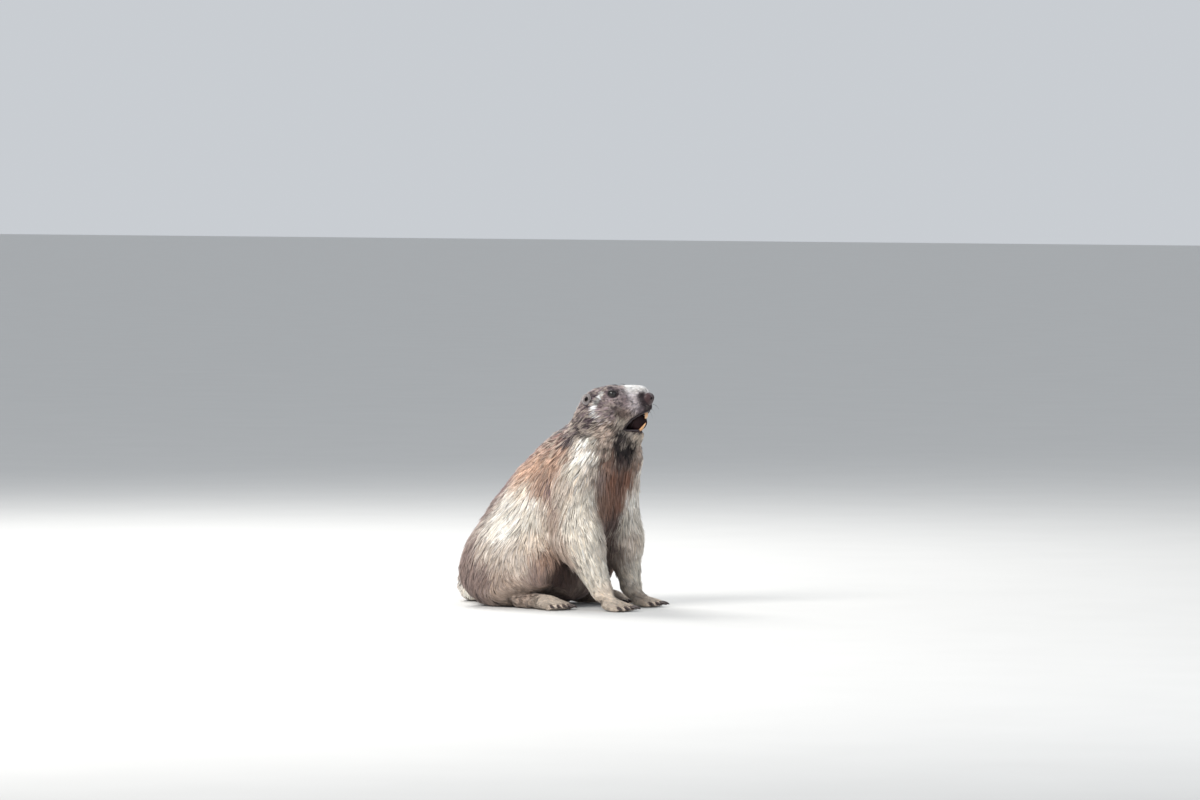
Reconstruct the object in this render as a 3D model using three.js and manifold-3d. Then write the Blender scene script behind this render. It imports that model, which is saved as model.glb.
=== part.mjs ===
// An alpine marmot, life size, sitting on its haunches with both forefeet on the ground, its head
// turned a little to its left and its mouth open in a call. Millimetres, +Z up, +X the way the chest
// faces, +Y its left. The body is one field of soft masses, sampled into a closed skin and parted by
// thin cuts; locks of the long coat grow on it along the lie of the fur. Head details, feet, claws and
// teeth are solids of their own.
import * as THREE from "three";
import { mergeVertices } from "three/addons/utils/BufferGeometryUtils.js";
import Module from "manifold-3d";

const wasm = await Module();
wasm.setup();

// Driving dimensions.
const GAP = 0.3; // between neighbouring pieces
const BODY_STEP = 28; // grid that the core of the body is sampled on
const LIMB_STEP = 17; // the finer grid of forelegs and tail
const HEAD_STEP = 6; // of the head
const FOOT_STEP = 8; // and of the feet
const BLEND = 22; // how softly the body's masses run together
const HEAD_BLEND = 9;
const HEAD_AT = [100, 8, 267]; // middle of the head, between the eyes and the cheeks
const HEAD_TURN = 18; // degrees to the animal's left
const EYE_RADIUS = 6.4;
const SEAT = [-45, 0, 0]; // middle of the flat it sits on, where the part's origin is

const CORE_SHARE = 0.5; // how deep in the coat the core under the locks lies
const LOCK = {
  grid: 9, // of the skin whose points they start from
  apart: 23.5, // across the lie
  stretch: 0.7, // of that spacing, along the lie
  least: 8, // shallower coat has no locks, and no core inside it
  lowest: 16,
  long: [18, 3.7], // and what each millimetre of depth adds
  wide: [8, 13.5, 10], // half widths at the root and on the way to the tip
  thick: [4.5, 3.6, 2.4],
  deep: [0.5, 0.31, 0.15], // how deep in the coat they lie, in shares of its depth
  sunk: 4, // how far the root reaches into the core
  swing: 14, // degrees to either side of the lie
  shares: [1, 0.8, 0.62, 0.48], // of its length, the first that keeps to its own piece
};

const v3 = (p) => new THREE.Vector3(...p);
const radians = THREE.MathUtils.degToRad;

// The head's own frame: x along the muzzle, y to its left, z up.
const HEAD_FRAME = new THREE.Matrix4()
  .makeRotationZ(radians(HEAD_TURN))
  .setPosition(...HEAD_AT);
const fromHead = (p) => v3(p).applyMatrix4(HEAD_FRAME).toArray();

// A mass is a distance function: an egg is an ellipsoid leaned over in the plane of the spine, and a
// taper is a cone with round ends, both made slimmer or wider across the animal by a factor.
function egg(at, radii, lean = 0) {
  const [c, s] = [Math.cos(radians(lean)), Math.sin(radians(lean))];
  const [rx, ry, rz] = radii;
  return (p) => {
    const dx = p[0] - at[0];
    const dy = p[1] - at[1];
    const dz = p[2] - at[2];
    const x = c * dx + s * dz;
    const z = c * dz - s * dx;
    const far = Math.hypot(x / rx, dy / ry, z / rz);
    const slope = Math.hypot(x / (rx * rx), dy / (ry * ry), z / (rz * rz));
    return slope < 1e-9 ? -Math.min(...radii) : (far * (far - 1)) / slope;
  };
}

function taper(from, to, r0, r1, width = 1) {
  const axis = [to[0] - from[0], (to[1] - from[1]) / width, to[2] - from[2]];
  const long = axis[0] ** 2 + axis[1] ** 2 + axis[2] ** 2;
  return (p) => {
    const q = [p[0] - from[0], (p[1] - from[1]) / width, p[2] - from[2]];
    const along = (q[0] * axis[0] + q[1] * axis[1] + q[2] * axis[2]) / long;
    const t = Math.min(1, Math.max(0, along));
    const off = Math.hypot(q[0] - t * axis[0], q[1] - t * axis[1], q[2] - t * axis[2]);
    return off - (r0 + t * (r1 - r0));
  };
}

// Both sides of the animal get the mass made by make(side), with side -1 for the right and 1 for the left.
const pair = (make) => [make(-1), make(1)];

// Softly joined masses: each one runs into the rest over the given distance.
function joined(masses, blend) {
  return (p) => {
    let d = Infinity;
    for (const mass of masses) {
      const m = mass(p);
      const near = Math.max(blend - Math.abs(d - m), 0) / blend;
      d = Math.min(d, m) - (near * near * blend) / 4;
    }
    return d;
  };
}

// Limbs, as joints from the trunk to the ground. The right forefoot stands further forward than the left.
const FORELEGS = {
  right: {
    side: -1,
    shoulder: [80, -46, 162],
    elbow: [90, -53, 94],
    wrist: [126, -51, 27],
    radii: [29, 30, 15],
  },
  left: {
    side: 1,
    shoulder: [82, 45, 162],
    elbow: [87, 51, 92],
    wrist: [100, 50, 28],
    radii: [29, 25, 15],
  },
};
const HINDLEGS = {
  right: { side: -1, hip: [-42, -56, 66], knee: [22, -66, 56], heel: [2, -66, 12], toes: [52, -74, 9] },
  left: { side: 1, hip: [-42, 56, 66], knee: [22, 66, 56], heel: [2, 66, 12], toes: [52, 74, 9] },
};
const TAIL = [
  [-100, 2, 42],
  [-134, 22, 25],
  [-150, 58, 21.5],
  [-142, 98, 19.5],
  [-126, 126, 12],
];
const TAIL_RADII = [30, 25, 23, 21, 13];
const FOREPAW = { digits: 4, spread: 22, long: 26, thick: 5.2 };
const HINDFOOT = { digits: 5, spread: 25, long: 27, thick: 5.4 };

const TRUNK = [
  taper([-50, 0, 58], [-15, 0, 91], 68, 75, 1.06), // rump to loin
  taper([-15, 0, 91], [22, 0, 136], 73, 71, 1.04), // loin to ribs
  taper([22, 0, 136], [51, 0, 175], 71, 63, 1), // ribs to withers
  egg([24, 0, 62], [52, 66, 58]), // belly
  egg([72, 2, 146], [36, 46, 52], 20), // breast
];
const NECK = [
  taper([55, 0, 180], [84, 2, 228], 59, 42),
  taper([82, 2, 226], [82, 2, 245], 40, 26),
  egg([98, 28, 200], [32, 32, 37], 10), // ruff on the left of the throat
  egg([82, -28, 200], [31, 30, 36], 10), // and on the right
];
const foreleg = (leg) => [
  taper(leg.shoulder, leg.elbow, leg.radii[0], leg.radii[1]),
  taper(leg.elbow, leg.wrist, leg.radii[1], leg.radii[2]),
];
const haunch = (leg) => [
  taper(leg.hip, leg.knee, 48, 36, 0.85),
  egg([leg.hip[0] + 4, leg.hip[1], 42], [62, 38, 42]),
];
const LIMBS = [...Object.values(FORELEGS).flatMap(foreleg), ...Object.values(HINDLEGS).flatMap(haunch)];
const TAIL_MASSES = TAIL.slice(1).map((end, i) =>
  taper(TAIL[i], end, TAIL_RADII[i], TAIL_RADII[i + 1]),
);

// The head's masses in its own frame.
const SKULL = [
  egg([-16, 0, 1], [24, 33, 27]), // cranium
  ...pair((s) => egg([-9, 19 * s, -8], [26, 20, 24])), // cheeks
  taper([2, 0, 9], [40, 0, 15], 23, 14.8, 1.06), // muzzle
  egg([30, 0, 20], [18, 10, 9.5]), // bridge of the nose
  ...pair((s) => egg([40.5, 8.5 * s, 3], [11.8, 9.5, 11])), // whisker pads
  taper([20, 0, -7], [41, 0, 1], 18, 10.5, 1.1), // upper lip
  ...pair((s) => egg([5, 18.5 * s, 17], [19, 11, 12.5])), // sockets and brows
  taper([-6, 0, -24], [35, 0, -33.5], 22, 9.5, 1.05), // jaw and chin
];
const inHead = (masses) => {
  const [c, s] = [Math.cos(radians(HEAD_TURN)), Math.sin(radians(HEAD_TURN))];
  return masses.map((mass) => (p) => {
    const dx = p[0] - HEAD_AT[0];
    const dy = p[1] - HEAD_AT[1];
    return mass([c * dx + s * dy, c * dy - s * dx, p[2] - HEAD_AT[2]]);
  });
};

const skullField = joined(inHead(SKULL), HEAD_BLEND);
const bodyField = joined([...TRUNK, ...NECK, ...LIMBS, skullField], BLEND);
const tailField = joined(TAIL_MASSES, BLEND);
const outline = joined([bodyField, tailField], BLEND / 2);

const between = (from, to) => to.map((c, axis) => (c - from[axis]) / 40);

// The lie of the coat: at each place, the way the hair points and how deep the coat is. A place with a
// width is on both sides of the animal.
const LIE = [
  { at: [50, 0, 255], way: [-0.75, 0, -0.66], deep: 8 }, // nape
  { at: [85, 45, 215], way: [-0.45, 0.1, -0.9], deep: 10 }, // sides of the neck
  { at: [115, 0, 225], way: [-0.1, 0, -1], deep: 7 }, // throat
  { at: [115, 0, 170], way: [-0.1, 0, -1], deep: 14 }, // breast
  { at: [100, 0, 120], way: [-0.35, 0, -0.94], deep: 13 },
  { at: [70, 0, 60], way: [-0.5, 0, -0.85], deep: 9 }, // belly
  { at: [70, 68, 165], way: [-0.15, 0.1, -0.98], deep: 13 }, // shoulders
  { at: [82, 64, 110], way: [0.05, 0, -1], deep: 12 }, // upper arms
  { at: [100, 60, 62], way: [0.4, 0, -0.9], deep: 8 }, // forearms
  { at: [114, 51, 24], way: [0.7, 0, -0.7], deep: 2 }, // wrists
  { at: [-40, 0, 181], way: [-0.65, 0, -0.76], deep: 9 }, // back
  { at: [-100, 0, 110], way: [-0.5, 0, -0.86], deep: 10 },
  { at: [-10, 88, 110], way: [-0.45, 0, -0.9], deep: 13 }, // flanks
  { at: [-40, 95, 60], way: [-0.35, 0, -0.94], deep: 13 }, // haunches
  { at: [50, 75, 60], way: [0.2, 0, -0.98], deep: 12 }, // knees
  { at: [-125, 0, 50], way: [-0.2, 0, -0.98], deep: 13 }, // rump
  ...TAIL.slice(1).map((end, i) => ({ at: TAIL[i], way: between(TAIL[i], end), deep: 12 })),
  { at: [78, 8, 280], way: [-0.9, -0.25, -0.3], deep: 3 }, // crown
  { at: [100, 40, 255], way: [-0.7, -0.1, -0.7], deep: 6 }, // cheeks
  { at: [130, 15, 235], way: [-0.8, -0.25, -0.5], deep: 4 }, // chin
];
const BOTH = LIE.flatMap((guide) => {
  const { at, way, deep } = guide;
  const mirrored = { at: [at[0], -at[1], at[2]], way: [way[0], -way[1], way[2]], deep };
  return at[1] > 30 && at[0] > -100 ? [guide, mirrored] : [guide];
});

function coatAt(p) {
  const way = [0, 0, 0];
  let [deep, total] = [0, 0];
  for (const guide of BOTH) {
    const far = (p[0] - guide.at[0]) ** 2 + (p[1] - guide.at[1]) ** 2 + (p[2] - guide.at[2]) ** 2;
    const weight = 1 / (far + 30) ** 2;
    guide.way.forEach((c, axis) => (way[axis] += weight * c));
    deep += weight * guide.deep;
    total += weight;
  }
  return { way, deep: deep / total };
}

// A closed skin where the field is zero: one point in each crossed cell, and a quad for each crossed
// edge. The outermost layer of the grid counts as outside, which closes a skin that runs out of it.
function skinOf(field, low, high, step) {
  const size = low.map((l, i) => Math.ceil((high[i] - l) / step) + 1);
  const [nx, ny, nz] = size;
  const place = (i, j, k) => (k * ny + j) * nx + i;
  const at = (i, j, k) => [low[0] + i * step, low[1] + j * step, low[2] + k * step];
  const within = (i, j, k) => [i, j, k].every((n, axis) => n > 0 && n < size[axis] - 1);
  const value = new Float32Array(nx * ny * nz).fill(step);
  for (let k = 0; k < nz; k++)
    for (let j = 0; j < ny; j++)
      for (let i = 0; i < nx; i++) if (within(i, j, k)) value[place(i, j, k)] = field(at(i, j, k));
  const corners = [0, 1, 2, 3, 4, 5, 6, 7].map((c) => [c & 1, (c >> 1) & 1, c >> 2]);
  const edges = corners.flatMap((a, m) =>
    [0, 1, 2].filter((axis) => !a[axis]).map((axis) => [m, m | (1 << axis)]),
  );
  const points = [];
  const pointOf = new Map();
  for (let k = 0; k < nz - 1; k++)
    for (let j = 0; j < ny - 1; j++)
      for (let i = 0; i < nx - 1; i++) {
        const v = corners.map(([a, b, c]) => value[place(i + a, j + b, k + c)]);
        const sum = [0, 0, 0];
        let crossings = 0;
        for (const [m, n] of edges) {
          if (v[m] < 0 === v[n] < 0) continue;
          const t = v[m] / (v[m] - v[n]);
          corners[m].forEach((c, axis) => (sum[axis] += c + t * (corners[n][axis] - c)));
          crossings++;
        }
        if (!crossings) continue;
        pointOf.set(place(i, j, k), points.length / 3);
        points.push(...at(i, j, k).map((o, axis) => o + (sum[axis] / crossings) * step));
      }
  const index = [];
  const links = Array.from({ length: points.length / 3 }, () => []);
  const quad = (a, b, c, d, flip) => {
    const [p, q, r, s] = [a, b, c, d].map((cell) => pointOf.get(cell));
    index.push(...(flip ? [p, q, r, p, r, s] : [p, r, q, p, s, r]));
    [p, q, r, s].forEach((corner, n, all) => links[corner].push(all[(n + 1) % 4], all[(n + 3) % 4]));
  };
  for (let k = 0; k < nz - 1; k++)
    for (let j = 0; j < ny - 1; j++)
      for (let i = 0; i < nx - 1; i++) {
        const inside = value[place(i, j, k)] < 0;
        if (inside !== value[place(i + 1, j, k)] < 0)
          quad(place(i, j - 1, k - 1), place(i, j, k - 1), place(i, j, k), place(i, j - 1, k), inside);
        if (inside !== value[place(i, j + 1, k)] < 0)
          quad(place(i - 1, j, k - 1), place(i - 1, j, k), place(i, j, k), place(i, j, k - 1), inside);
        if (inside !== value[place(i, j, k + 1)] < 0)
          quad(place(i - 1, j - 1, k), place(i, j - 1, k), place(i, j, k), place(i - 1, j, k), inside);
      }
  const geometry = new THREE.BufferGeometry();
  const even = settled(points, links, field, step);
  geometry.setAttribute("position", new THREE.Float32BufferAttribute(even, 3));
  geometry.setIndex(index);
  return geometry;
}

// Evens out the points of a skin: each moves towards the middle of its neighbours and back onto the
// surface.
// Points that lie well off the surface close the skin where it runs out of its grid, and stay.
function settled(points, links, field, step, rounds = 3) {
  const reach = 0.05 * step;
  let places = links.map((_, i) => points.slice(3 * i, 3 * i + 3));
  for (let round = 0; round < rounds; round++) {
    places = places.map((at, i) => {
      if (Math.abs(field(at)) > 0.7 * step) return at;
      const meanOf = (a) => links[i].reduce((sum, n) => sum + places[n][a], 0) / links[i].length;
      const middle = [0, 1, 2].map(meanOf);
      const moved = at.map((c, a) => 0.4 * c + 0.6 * middle[a]);
      const off = field(moved);
      const slope = [0, 1, 2].map((axis) => {
        const beside = moved.map((c, a) => (a === axis ? c + reach : c));
        return (field(beside) - off) / reach;
      });
      const steep = slope.reduce((sum, g) => sum + g * g, 0);
      const back = Math.max(-step, Math.min(step, off)) / Math.max(steep, 0.2);
      return moved.map((c, a) => c - back * slope[a]);
    });
  }
  return places.flat();
}

// Solids for joining and cutting.
function welded(geometry) {
  const bare = geometry.clone();
  bare.deleteAttribute("normal");
  bare.deleteAttribute("uv");
  return mergeVertices(bare, 1e-4);
}

function solid(geometry) {
  const merged = welded(geometry);
  return new wasm.Manifold(
    new wasm.Mesh({
      numProp: 3,
      vertProperties: new Float32Array(merged.attributes.position.array),
      triVerts: new Uint32Array(merged.index.array),
    }),
  );
}

function geometryOf(body) {
  const mesh = body.getMesh();
  const geometry = new THREE.BufferGeometry();
  geometry.setAttribute("position", new THREE.Float32BufferAttribute(mesh.vertProperties, 3));
  geometry.setIndex(new THREE.Uint32BufferAttribute(mesh.triVerts, 1));
  return geometry;
}

// The same skin moved outwards along its normals.
function grown(geometry, by = GAP) {
  const skin = welded(geometry);
  skin.computeVertexNormals();
  const { position, normal } = skin.attributes;
  for (let i = 0; i < position.count; i++) {
    const at = new THREE.Vector3().fromBufferAttribute(position, i);
    at.addScaledVector(new THREE.Vector3().fromBufferAttribute(normal, i), by);
    position.setXYZ(i, at.x, at.y, at.z);
  }
  return skin;
}

// The largest closed body of a solid, without the hollows and scraps that a cut can leave.
function largest(body) {
  return body.decompose().sort((a, b) => b.volume() - a.volume())[0];
}

const without = (body, ...cutters) => cutters.reduce((rest, cutter) => rest.subtract(cutter), body);
const together = (body, ...more) => more.reduce((all, one) => all.add(one), body);

// A closed skin through rings of corners, each ring anticlockwise as seen from the end of the row. A
// ring of one point is a tip, and a closed row comes back to its first ring.
function loft(rings, closed = false) {
  const points = [];
  const index = [];
  const starts = rings.map((ring) => {
    const start = points.length / 3;
    ring.forEach((corner) => points.push(...corner));
    return start;
  });
  const rows = closed ? rings.length : rings.length - 1;
  for (let r = 0; r < rows; r++) {
    const next = (r + 1) % rings.length;
    const [a, b] = [rings[r].length, rings[next].length];
    for (let i = 0; i < Math.max(a, b); i++) {
      const j = (i + 1) % Math.max(a, b);
      const [p, q] = [starts[r] + (i % a), starts[r] + (j % a)];
      const [s, t] = [starts[next] + (i % b), starts[next] + (j % b)];
      if (p !== q) index.push(p, q, t);
      if (s !== t) index.push(p, t, s);
    }
  }
  if (!closed) {
    for (let i = 1; i + 1 < rings[0].length; i++) index.push(starts[0], starts[0] + i + 1, starts[0] + i);
    const last = starts[rings.length - 1];
    for (let i = 1; i + 1 < rings.at(-1).length; i++) index.push(last, last + i, last + i + 1);
  }
  const geometry = new THREE.BufferGeometry();
  geometry.setAttribute("position", new THREE.Float32BufferAttribute(points, 3));
  geometry.setIndex(index);
  return geometry;
}

// A bar along a path: size(t) gives its half width and half thickness, and across(i) the way its width
// lies.
function bar(path, sides, size, across, closed = false, turn = 0.5) {
  const count = path.length;
  const rings = path.map((at, i) => {
    const before = path[closed ? (i + count - 1) % count : Math.max(0, i - 1)];
    const after = path[closed ? (i + 1) % count : Math.min(count - 1, i + 1)];
    const along = v3(after).sub(v3(before)).normalize();
    const wide = v3(across(i));
    wide.addScaledVector(along, -wide.dot(along)).normalize();
    const deep = along.clone().cross(wide);
    const [w, d] = size(i / (count - 1));
    if (w === 0) return [at];
    return Array.from({ length: sides }, (_, k) => {
      const angle = (2 * Math.PI * (k + turn)) / sides;
      const corner = v3(at).addScaledVector(wide, w * Math.cos(angle));
      return corner.addScaledVector(deep, d * Math.sin(angle)).toArray();
    });
  });
  return loft(rings, closed);
}

function ball(at, radii, wide = 14, high = 10) {
  const geometry = new THREE.SphereGeometry(1, wide, high).scale(...radii);
  return geometry.translate(...at);
}

// A prism of an outline in the plane of the head's middle, as wide as the head.
function headPrism(corners, width = 110) {
  const shape = new THREE.Shape(corners.map(([f, t]) => new THREE.Vector2(f, t)));
  const geometry = new THREE.ExtrudeGeometry(shape, { depth: width, bevelEnabled: false });
  return geometry.translate(0, 0, -width / 2).rotateX(Math.PI / 2);
}

// The half of space ahead of a plane, or behind it, from the given distance past the plane on.
function halfSpace(at, normal, past = 0, reach = 400) {
  const n = v3(normal).normalize();
  const turn = new THREE.Quaternion().setFromUnitVectors(new THREE.Vector3(0, 0, 1), n);
  const geometry = new THREE.BoxGeometry(2 * reach, 2 * reach, reach);
  geometry.translate(0, 0, reach / 2 + past).applyQuaternion(turn);
  return solid(geometry.translate(...at));
}

const ahead = ({ at, normal }) => halfSpace(at, normal, GAP / 2);
const behind = ({ at, normal }) => halfSpace(at, normal.map((n) => -n), GAP / 2);

// Cuts between head, neck, chest and abdomen, each with its normal towards the head.
const HEAD_NORMAL = v3([0.63, 0, 0.77]).transformDirection(HEAD_FRAME).toArray();
const HEAD_CUT = { at: fromHead([-44, 0, 12]), normal: HEAD_NORMAL };
const NECK_CUT = { at: [74, 0, 204], normal: [0.42, 0, 0.91] };
const WAIST_CUT = { at: [20, 0, 120], normal: [0.72, 0, 0.69] };
const floor = halfSpace([0, 0, 0], [0, 0, -1]);

// The core lies deep in the coat where locks grow, and at the outline where they don't.
const coreOf = (field) => (p) => {
  const { deep } = coatAt(p);
  return field(p) + CORE_SHARE * deep * THREE.MathUtils.clamp((deep - LOCK.least + 1.5) / 2, 0, 1);
};

// A limb's share of the body: prisms across the animal along the limb's own line, from a depth inside
// outwards.
const SHARES = {
  foreleg: [
    { ends: ["shoulder", "elbow"], radii: [35, 31], deep: 26 },
    { ends: ["elbow", "wrist"], radii: [31, 27], deep: 28 },
  ],
  thigh: [{ ends: ["hip", "knee"], radii: [58, 44], deep: 42 }],
};

// Which piece of the body a place belongs to.
const isAhead = ({ at, normal }, p) => v3(p).sub(v3(at)).dot(v3(normal)) > 0;
const isShared = (limb, prisms, p) =>
  prisms.some(({ ends: [from, to], radii, deep }) => {
    const [a, b] = [limb[from], limb[to]];
    const prism = taper([a[0], 0, a[2]], [b[0], 0, b[2]], ...radii);
    return p[1] * limb.side > deep && prism([p[0], 0, p[2]]) < 0;
  });
function pieceOf(p) {
  if (isAhead(NECK_CUT, p)) return isAhead(HEAD_CUT, p) ? "head" : "neck";
  for (const [side, leg] of Object.entries(FORELEGS)) {
    if (isShared(leg, SHARES.foreleg, p)) return `foreleg_${side}`;
  }
  for (const [side, leg] of Object.entries(HINDLEGS)) {
    if (isShared(leg, SHARES.thigh, p)) return `thigh_${side}`;
  }
  return isAhead(WAIST_CUT, p) ? "chest" : "abdomen";
}

// Random numbers from 0 to 1, the same in each run.
function draws(seed) {
  let state = seed;
  return () => {
    state = (state * 1664525 + 1013904223) % 4294967296;
    return state / 4294967296;
  };
}

function slopeOf(field, p, reach = 0.8) {
  const off = field(p);
  const slope = [0, 1, 2].map((axis) => {
    const beside = p.map((c, a) => (a === axis ? c + reach : c));
    return (field(beside) - off) / reach;
  });
  return { off, slope: v3(slope) };
}

// The place near p where the field has the given value.
function onLevel(field, p, level) {
  let at = p;
  for (let i = 0; i < 4; i++) {
    const { off, slope } = slopeOf(field, at);
    const back = (off - level) / Math.max(slope.lengthSq(), 0.2);
    at = v3(at).addScaledVector(slope, -back).toArray();
  }
  return at;
}

// A lock starts sunk in the core, follows the lie over the body and rises until its tip meets the outline.
function lock(field, start, coat, portion, draw) {
  const steps = LOCK.wide.length;
  const long = (LOCK.long[0] + LOCK.long[1] * coat.deep) * portion;
  const swing = radians(LOCK.swing * (2 * draw() - 1));
  const stout = 0.85 + 0.3 * draw();
  const level = (k) => (k < steps ? -LOCK.deep[k] * coat.deep - (k ? 0 : LOCK.sunk) : 0);
  const path = [];
  const outs = [];
  let at = start;
  for (let k = 0; k <= steps; k++) {
    at = onLevel(field, at, level(k));
    const out = slopeOf(field, at).slope.normalize();
    path.push(at);
    outs.push(out);
    const way = v3(coatAt(at).way).applyAxisAngle(out, swing);
    way.addScaledVector(out, -way.dot(out)).normalize();
    at = v3(at).addScaledVector(way, long / steps).toArray();
  }
  const across = (k) => {
    const along = v3(path[Math.min(k + 1, steps)]).sub(v3(path[Math.max(k - 1, 0)]));
    return outs[k].clone().cross(along).toArray();
  };
  const size = (t) => {
    const k = Math.round(t * steps);
    return k < steps ? [LOCK.wide[k] * stout, LOCK.thick[k]] : [0, 0];
  };
  return { path, make: () => solid(bar(path, 3, size, across, false, 0.25)) };
}

// Locks all over a skin where the coat is deep enough, spaced apart, each as long as its own piece lets
// it be.
function locksOn(field, low, high, seed, piece) {
  const draw = draws(seed);
  const { position } = skinOf(coreOf(field), low, high, LOCK.grid).attributes;
  const spotOf = (_, i) => new THREE.Vector3().fromBufferAttribute(position, i);
  const spots = Array.from({ length: position.count }, spotOf);
  const order = spots.map((spot) => ({ spot, rank: draw() })).sort((a, b) => a.rank - b.rank);
  const chosen = [];
  for (const { spot } of order) {
    const coat = coatAt(spot.toArray());
    if (coat.deep < LOCK.least || spot.z < LOCK.lowest) continue;
    if (slopeOf(field, spot.toArray()).slope.z < -0.6) continue;
    const way = v3(coat.way).normalize();
    const near = ({ spot: other }) => {
      const off = other.clone().sub(spot);
      off.addScaledVector(way, (LOCK.stretch - 1) * off.dot(way));
      return off.length() < LOCK.apart;
    };
    if (chosen.some(near)) continue;
    const home = piece(spot.toArray());
    const fits = LOCK.shares
      .map((portion) => lock(field, spot.toArray(), coat, portion * (0.9 + 0.2 * draw()), draw))
      .find(({ path }) => path.every((p) => p[2] > 2 && piece(p) === home));
    if (fits) chosen.push({ spot, home, made: fits.make() });
  }
  return (home) => chosen.filter((each) => each.home === home).map(({ made }) => made);
}

const BODY_BOX = [
  [-164, -125, -57],
  [190, 125, 330],
];
const bodySkin = solid(skinOf(coreOf(bodyField), ...BODY_BOX, BODY_STEP));
const bodyLocks = locksOn(bodyField, ...BODY_BOX, 3, pieceOf);
const furred = (core, name) => together(core, ...bodyLocks(name)).subtract(floor);
const headSkinMesh = skinOf(bodyField, [40, -60, 185], [180, 75, 310], HEAD_STEP);

const part = new THREE.Group();
function add(name, made, colour, roughness = 0.9) {
  const mesh = new THREE.Mesh(
    geometryOf(largest(made)).translate(...SEAT.map((c) => -c)),
    new THREE.MeshStandardMaterial({ color: colour, roughness }),
  );
  mesh.name = name;
  part.add(mesh);
}

const COLOURS = {
  head: 0x8a7c7a,
  pale: 0xd3c6b8,
  back: 0xb9a594,
  chest: 0x9a857a,
  foot: 0xc5baae,
  nose: 0x4a3b3b,
  ear: 0xb6b0ad,
  eye: 0x120d0c,
  tooth: 0xd8a878,
  tongue: 0x8a5f5c,
  tip: 0x3b302c,
};

// The head: the mouth is an open wedge with a hollow behind it, and lips and lids are bars on its skin.
const MOUTH = {
  upper: [
    [23.5, -26.5],
    [28, -18.7],
    [32.4, -13.5],
    [39.7, -9.2],
    [54, -2],
    [76, 5],
  ],
  lower: [
    [76, -28.5],
    [25, -28.5],
  ],
};
const JAW_CUT = [
  [23.5, -27.5],
  [80, -14],
  [80, -90],
  [-25, -90],
];
const LIP = 1.9;
const placed = (geometry) => solid(geometry.applyMatrix4(HEAD_FRAME));
const inside = (p) => bodyField(fromHead(p)) < 0;

// The last point at which a walk from a to b is still inside the head.
function lastInside(walk) {
  let [low, high] = [0, 1];
  for (let i = 0; i < 24; i++) {
    const middle = (low + high) / 2;
    if (inside(walk(middle))) low = middle;
    else high = middle;
  }
  return low;
}

// A lip follows the skin where the mouth's edge meets it, from one corner round the front to the other.
function lip(edge, count = 8) {
  const line = new THREE.CatmullRomCurve3(edge.map(([f, t]) => v3([f, 0, t])));
  const front = lastInside((s) => line.getPoint(s).toArray());
  const half = Array.from({ length: count }, (_, k) => {
    const at = line.getPoint(front * Math.sin((Math.PI / 2) * (k / count)));
    const out = (s) => [at.x, 48 * s, at.z];
    return out(lastInside(out));
  });
  const middle = line.getPoint(front).toArray();
  const path = [...half.map(([f, l, t]) => [f, -l, t]), middle, ...half.reverse()];
  return bar(path, 5, () => [LIP, LIP], () => [0, 0, 1]);
}

const mouth = placed(headPrism([...MOUTH.upper, ...MOUTH.lower]));
const hollow = placed(ball([27, 0, -19], [17, 12, 10], 14, 8));
const jawPrism = placed(headPrism(JAW_CUT));
const jawRoom = placed(headPrism(JAW_CUT).translate(GAP, 0, -GAP));

const EYE = { at: (s) => [8.6, 24.6 * s, 20], out: (s) => v3([0.3, 0.93 * s, 0.16]).normalize() };
const LID = { wide: 60, high: 38, bar: [1.3, 1.7], count: 14 };
function eyeball(s, grow = 0) {
  const r = EYE_RADIUS + grow;
  return placed(ball(EYE.at(s), [r, r, r], 12, 9));
}

// Both lids of an eye as one almond-shaped rim lying on the eyeball.
function lids(s) {
  const out = EYE.out(s);
  const up = new THREE.Vector3(0.18, 0, 1).addScaledVector(out, -out.dot(new THREE.Vector3(0.18, 0, 1)));
  up.normalize();
  const level = up.clone().cross(out);
  const path = Array.from({ length: LID.count }, (_, k) => {
    const angle = (2 * Math.PI * k) / LID.count;
    const open = radians(Math.hypot(LID.wide * Math.cos(angle), LID.high * Math.sin(angle)));
    const round = level.clone().multiplyScalar(Math.cos(angle)).addScaledVector(up, Math.sin(angle));
    const ray = out.clone().multiplyScalar(Math.cos(open)).addScaledVector(round, Math.sin(open));
    return v3(EYE.at(s)).addScaledVector(ray, EYE_RADIUS + 0.5).toArray();
  });
  return placed(bar(path, 5, () => LID.bar, () => out.toArray(), true));
}

const NOSE = { at: [46.5, 0, 13], radii: [11.3, 12, 10.6] };
const nosePad = (grow) => placed(ball(NOSE.at, NOSE.radii.map((r) => r + grow), 14, 9));
const nostril = (s) => {
  const geometry = ball([0, 0, 0], [5, 1.9, 2.6], 8, 6).rotateX(radians(28 * s)).rotateZ(radians(-24 * s));
  return placed(geometry.translate(56.2, 5 * s, 15.2));
};

// An incisor is a curved bar that narrows to a chisel edge; grown, it is the socket it stands in.
const INCISORS = {
  upper: { root: [44.5, 2.45, 0.6], bend: [49.6, 2.45, -4], edge: [47.6, 2.3, -13] },
  lower: { root: [33, 2.3, -33.5], bend: [41, 2.3, -29.5], edge: [46, 2.15, -18.8] },
};
function incisor({ root, bend, edge }, s, grow = 0) {
  const side = (p) => v3([p[0], p[1] * s, p[2]]);
  const curve = new THREE.QuadraticBezierCurve3(side(root), side(bend), side(edge));
  const path = curve.getPoints(4).map((p) => p.toArray());
  const size = (t) => [2.5 * (1 - 0.12 * t) + grow, 2 * (1 - 0.55 * t) + grow];
  return placed(bar(path, 6, size, () => [0, 1, 0]));
}

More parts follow.
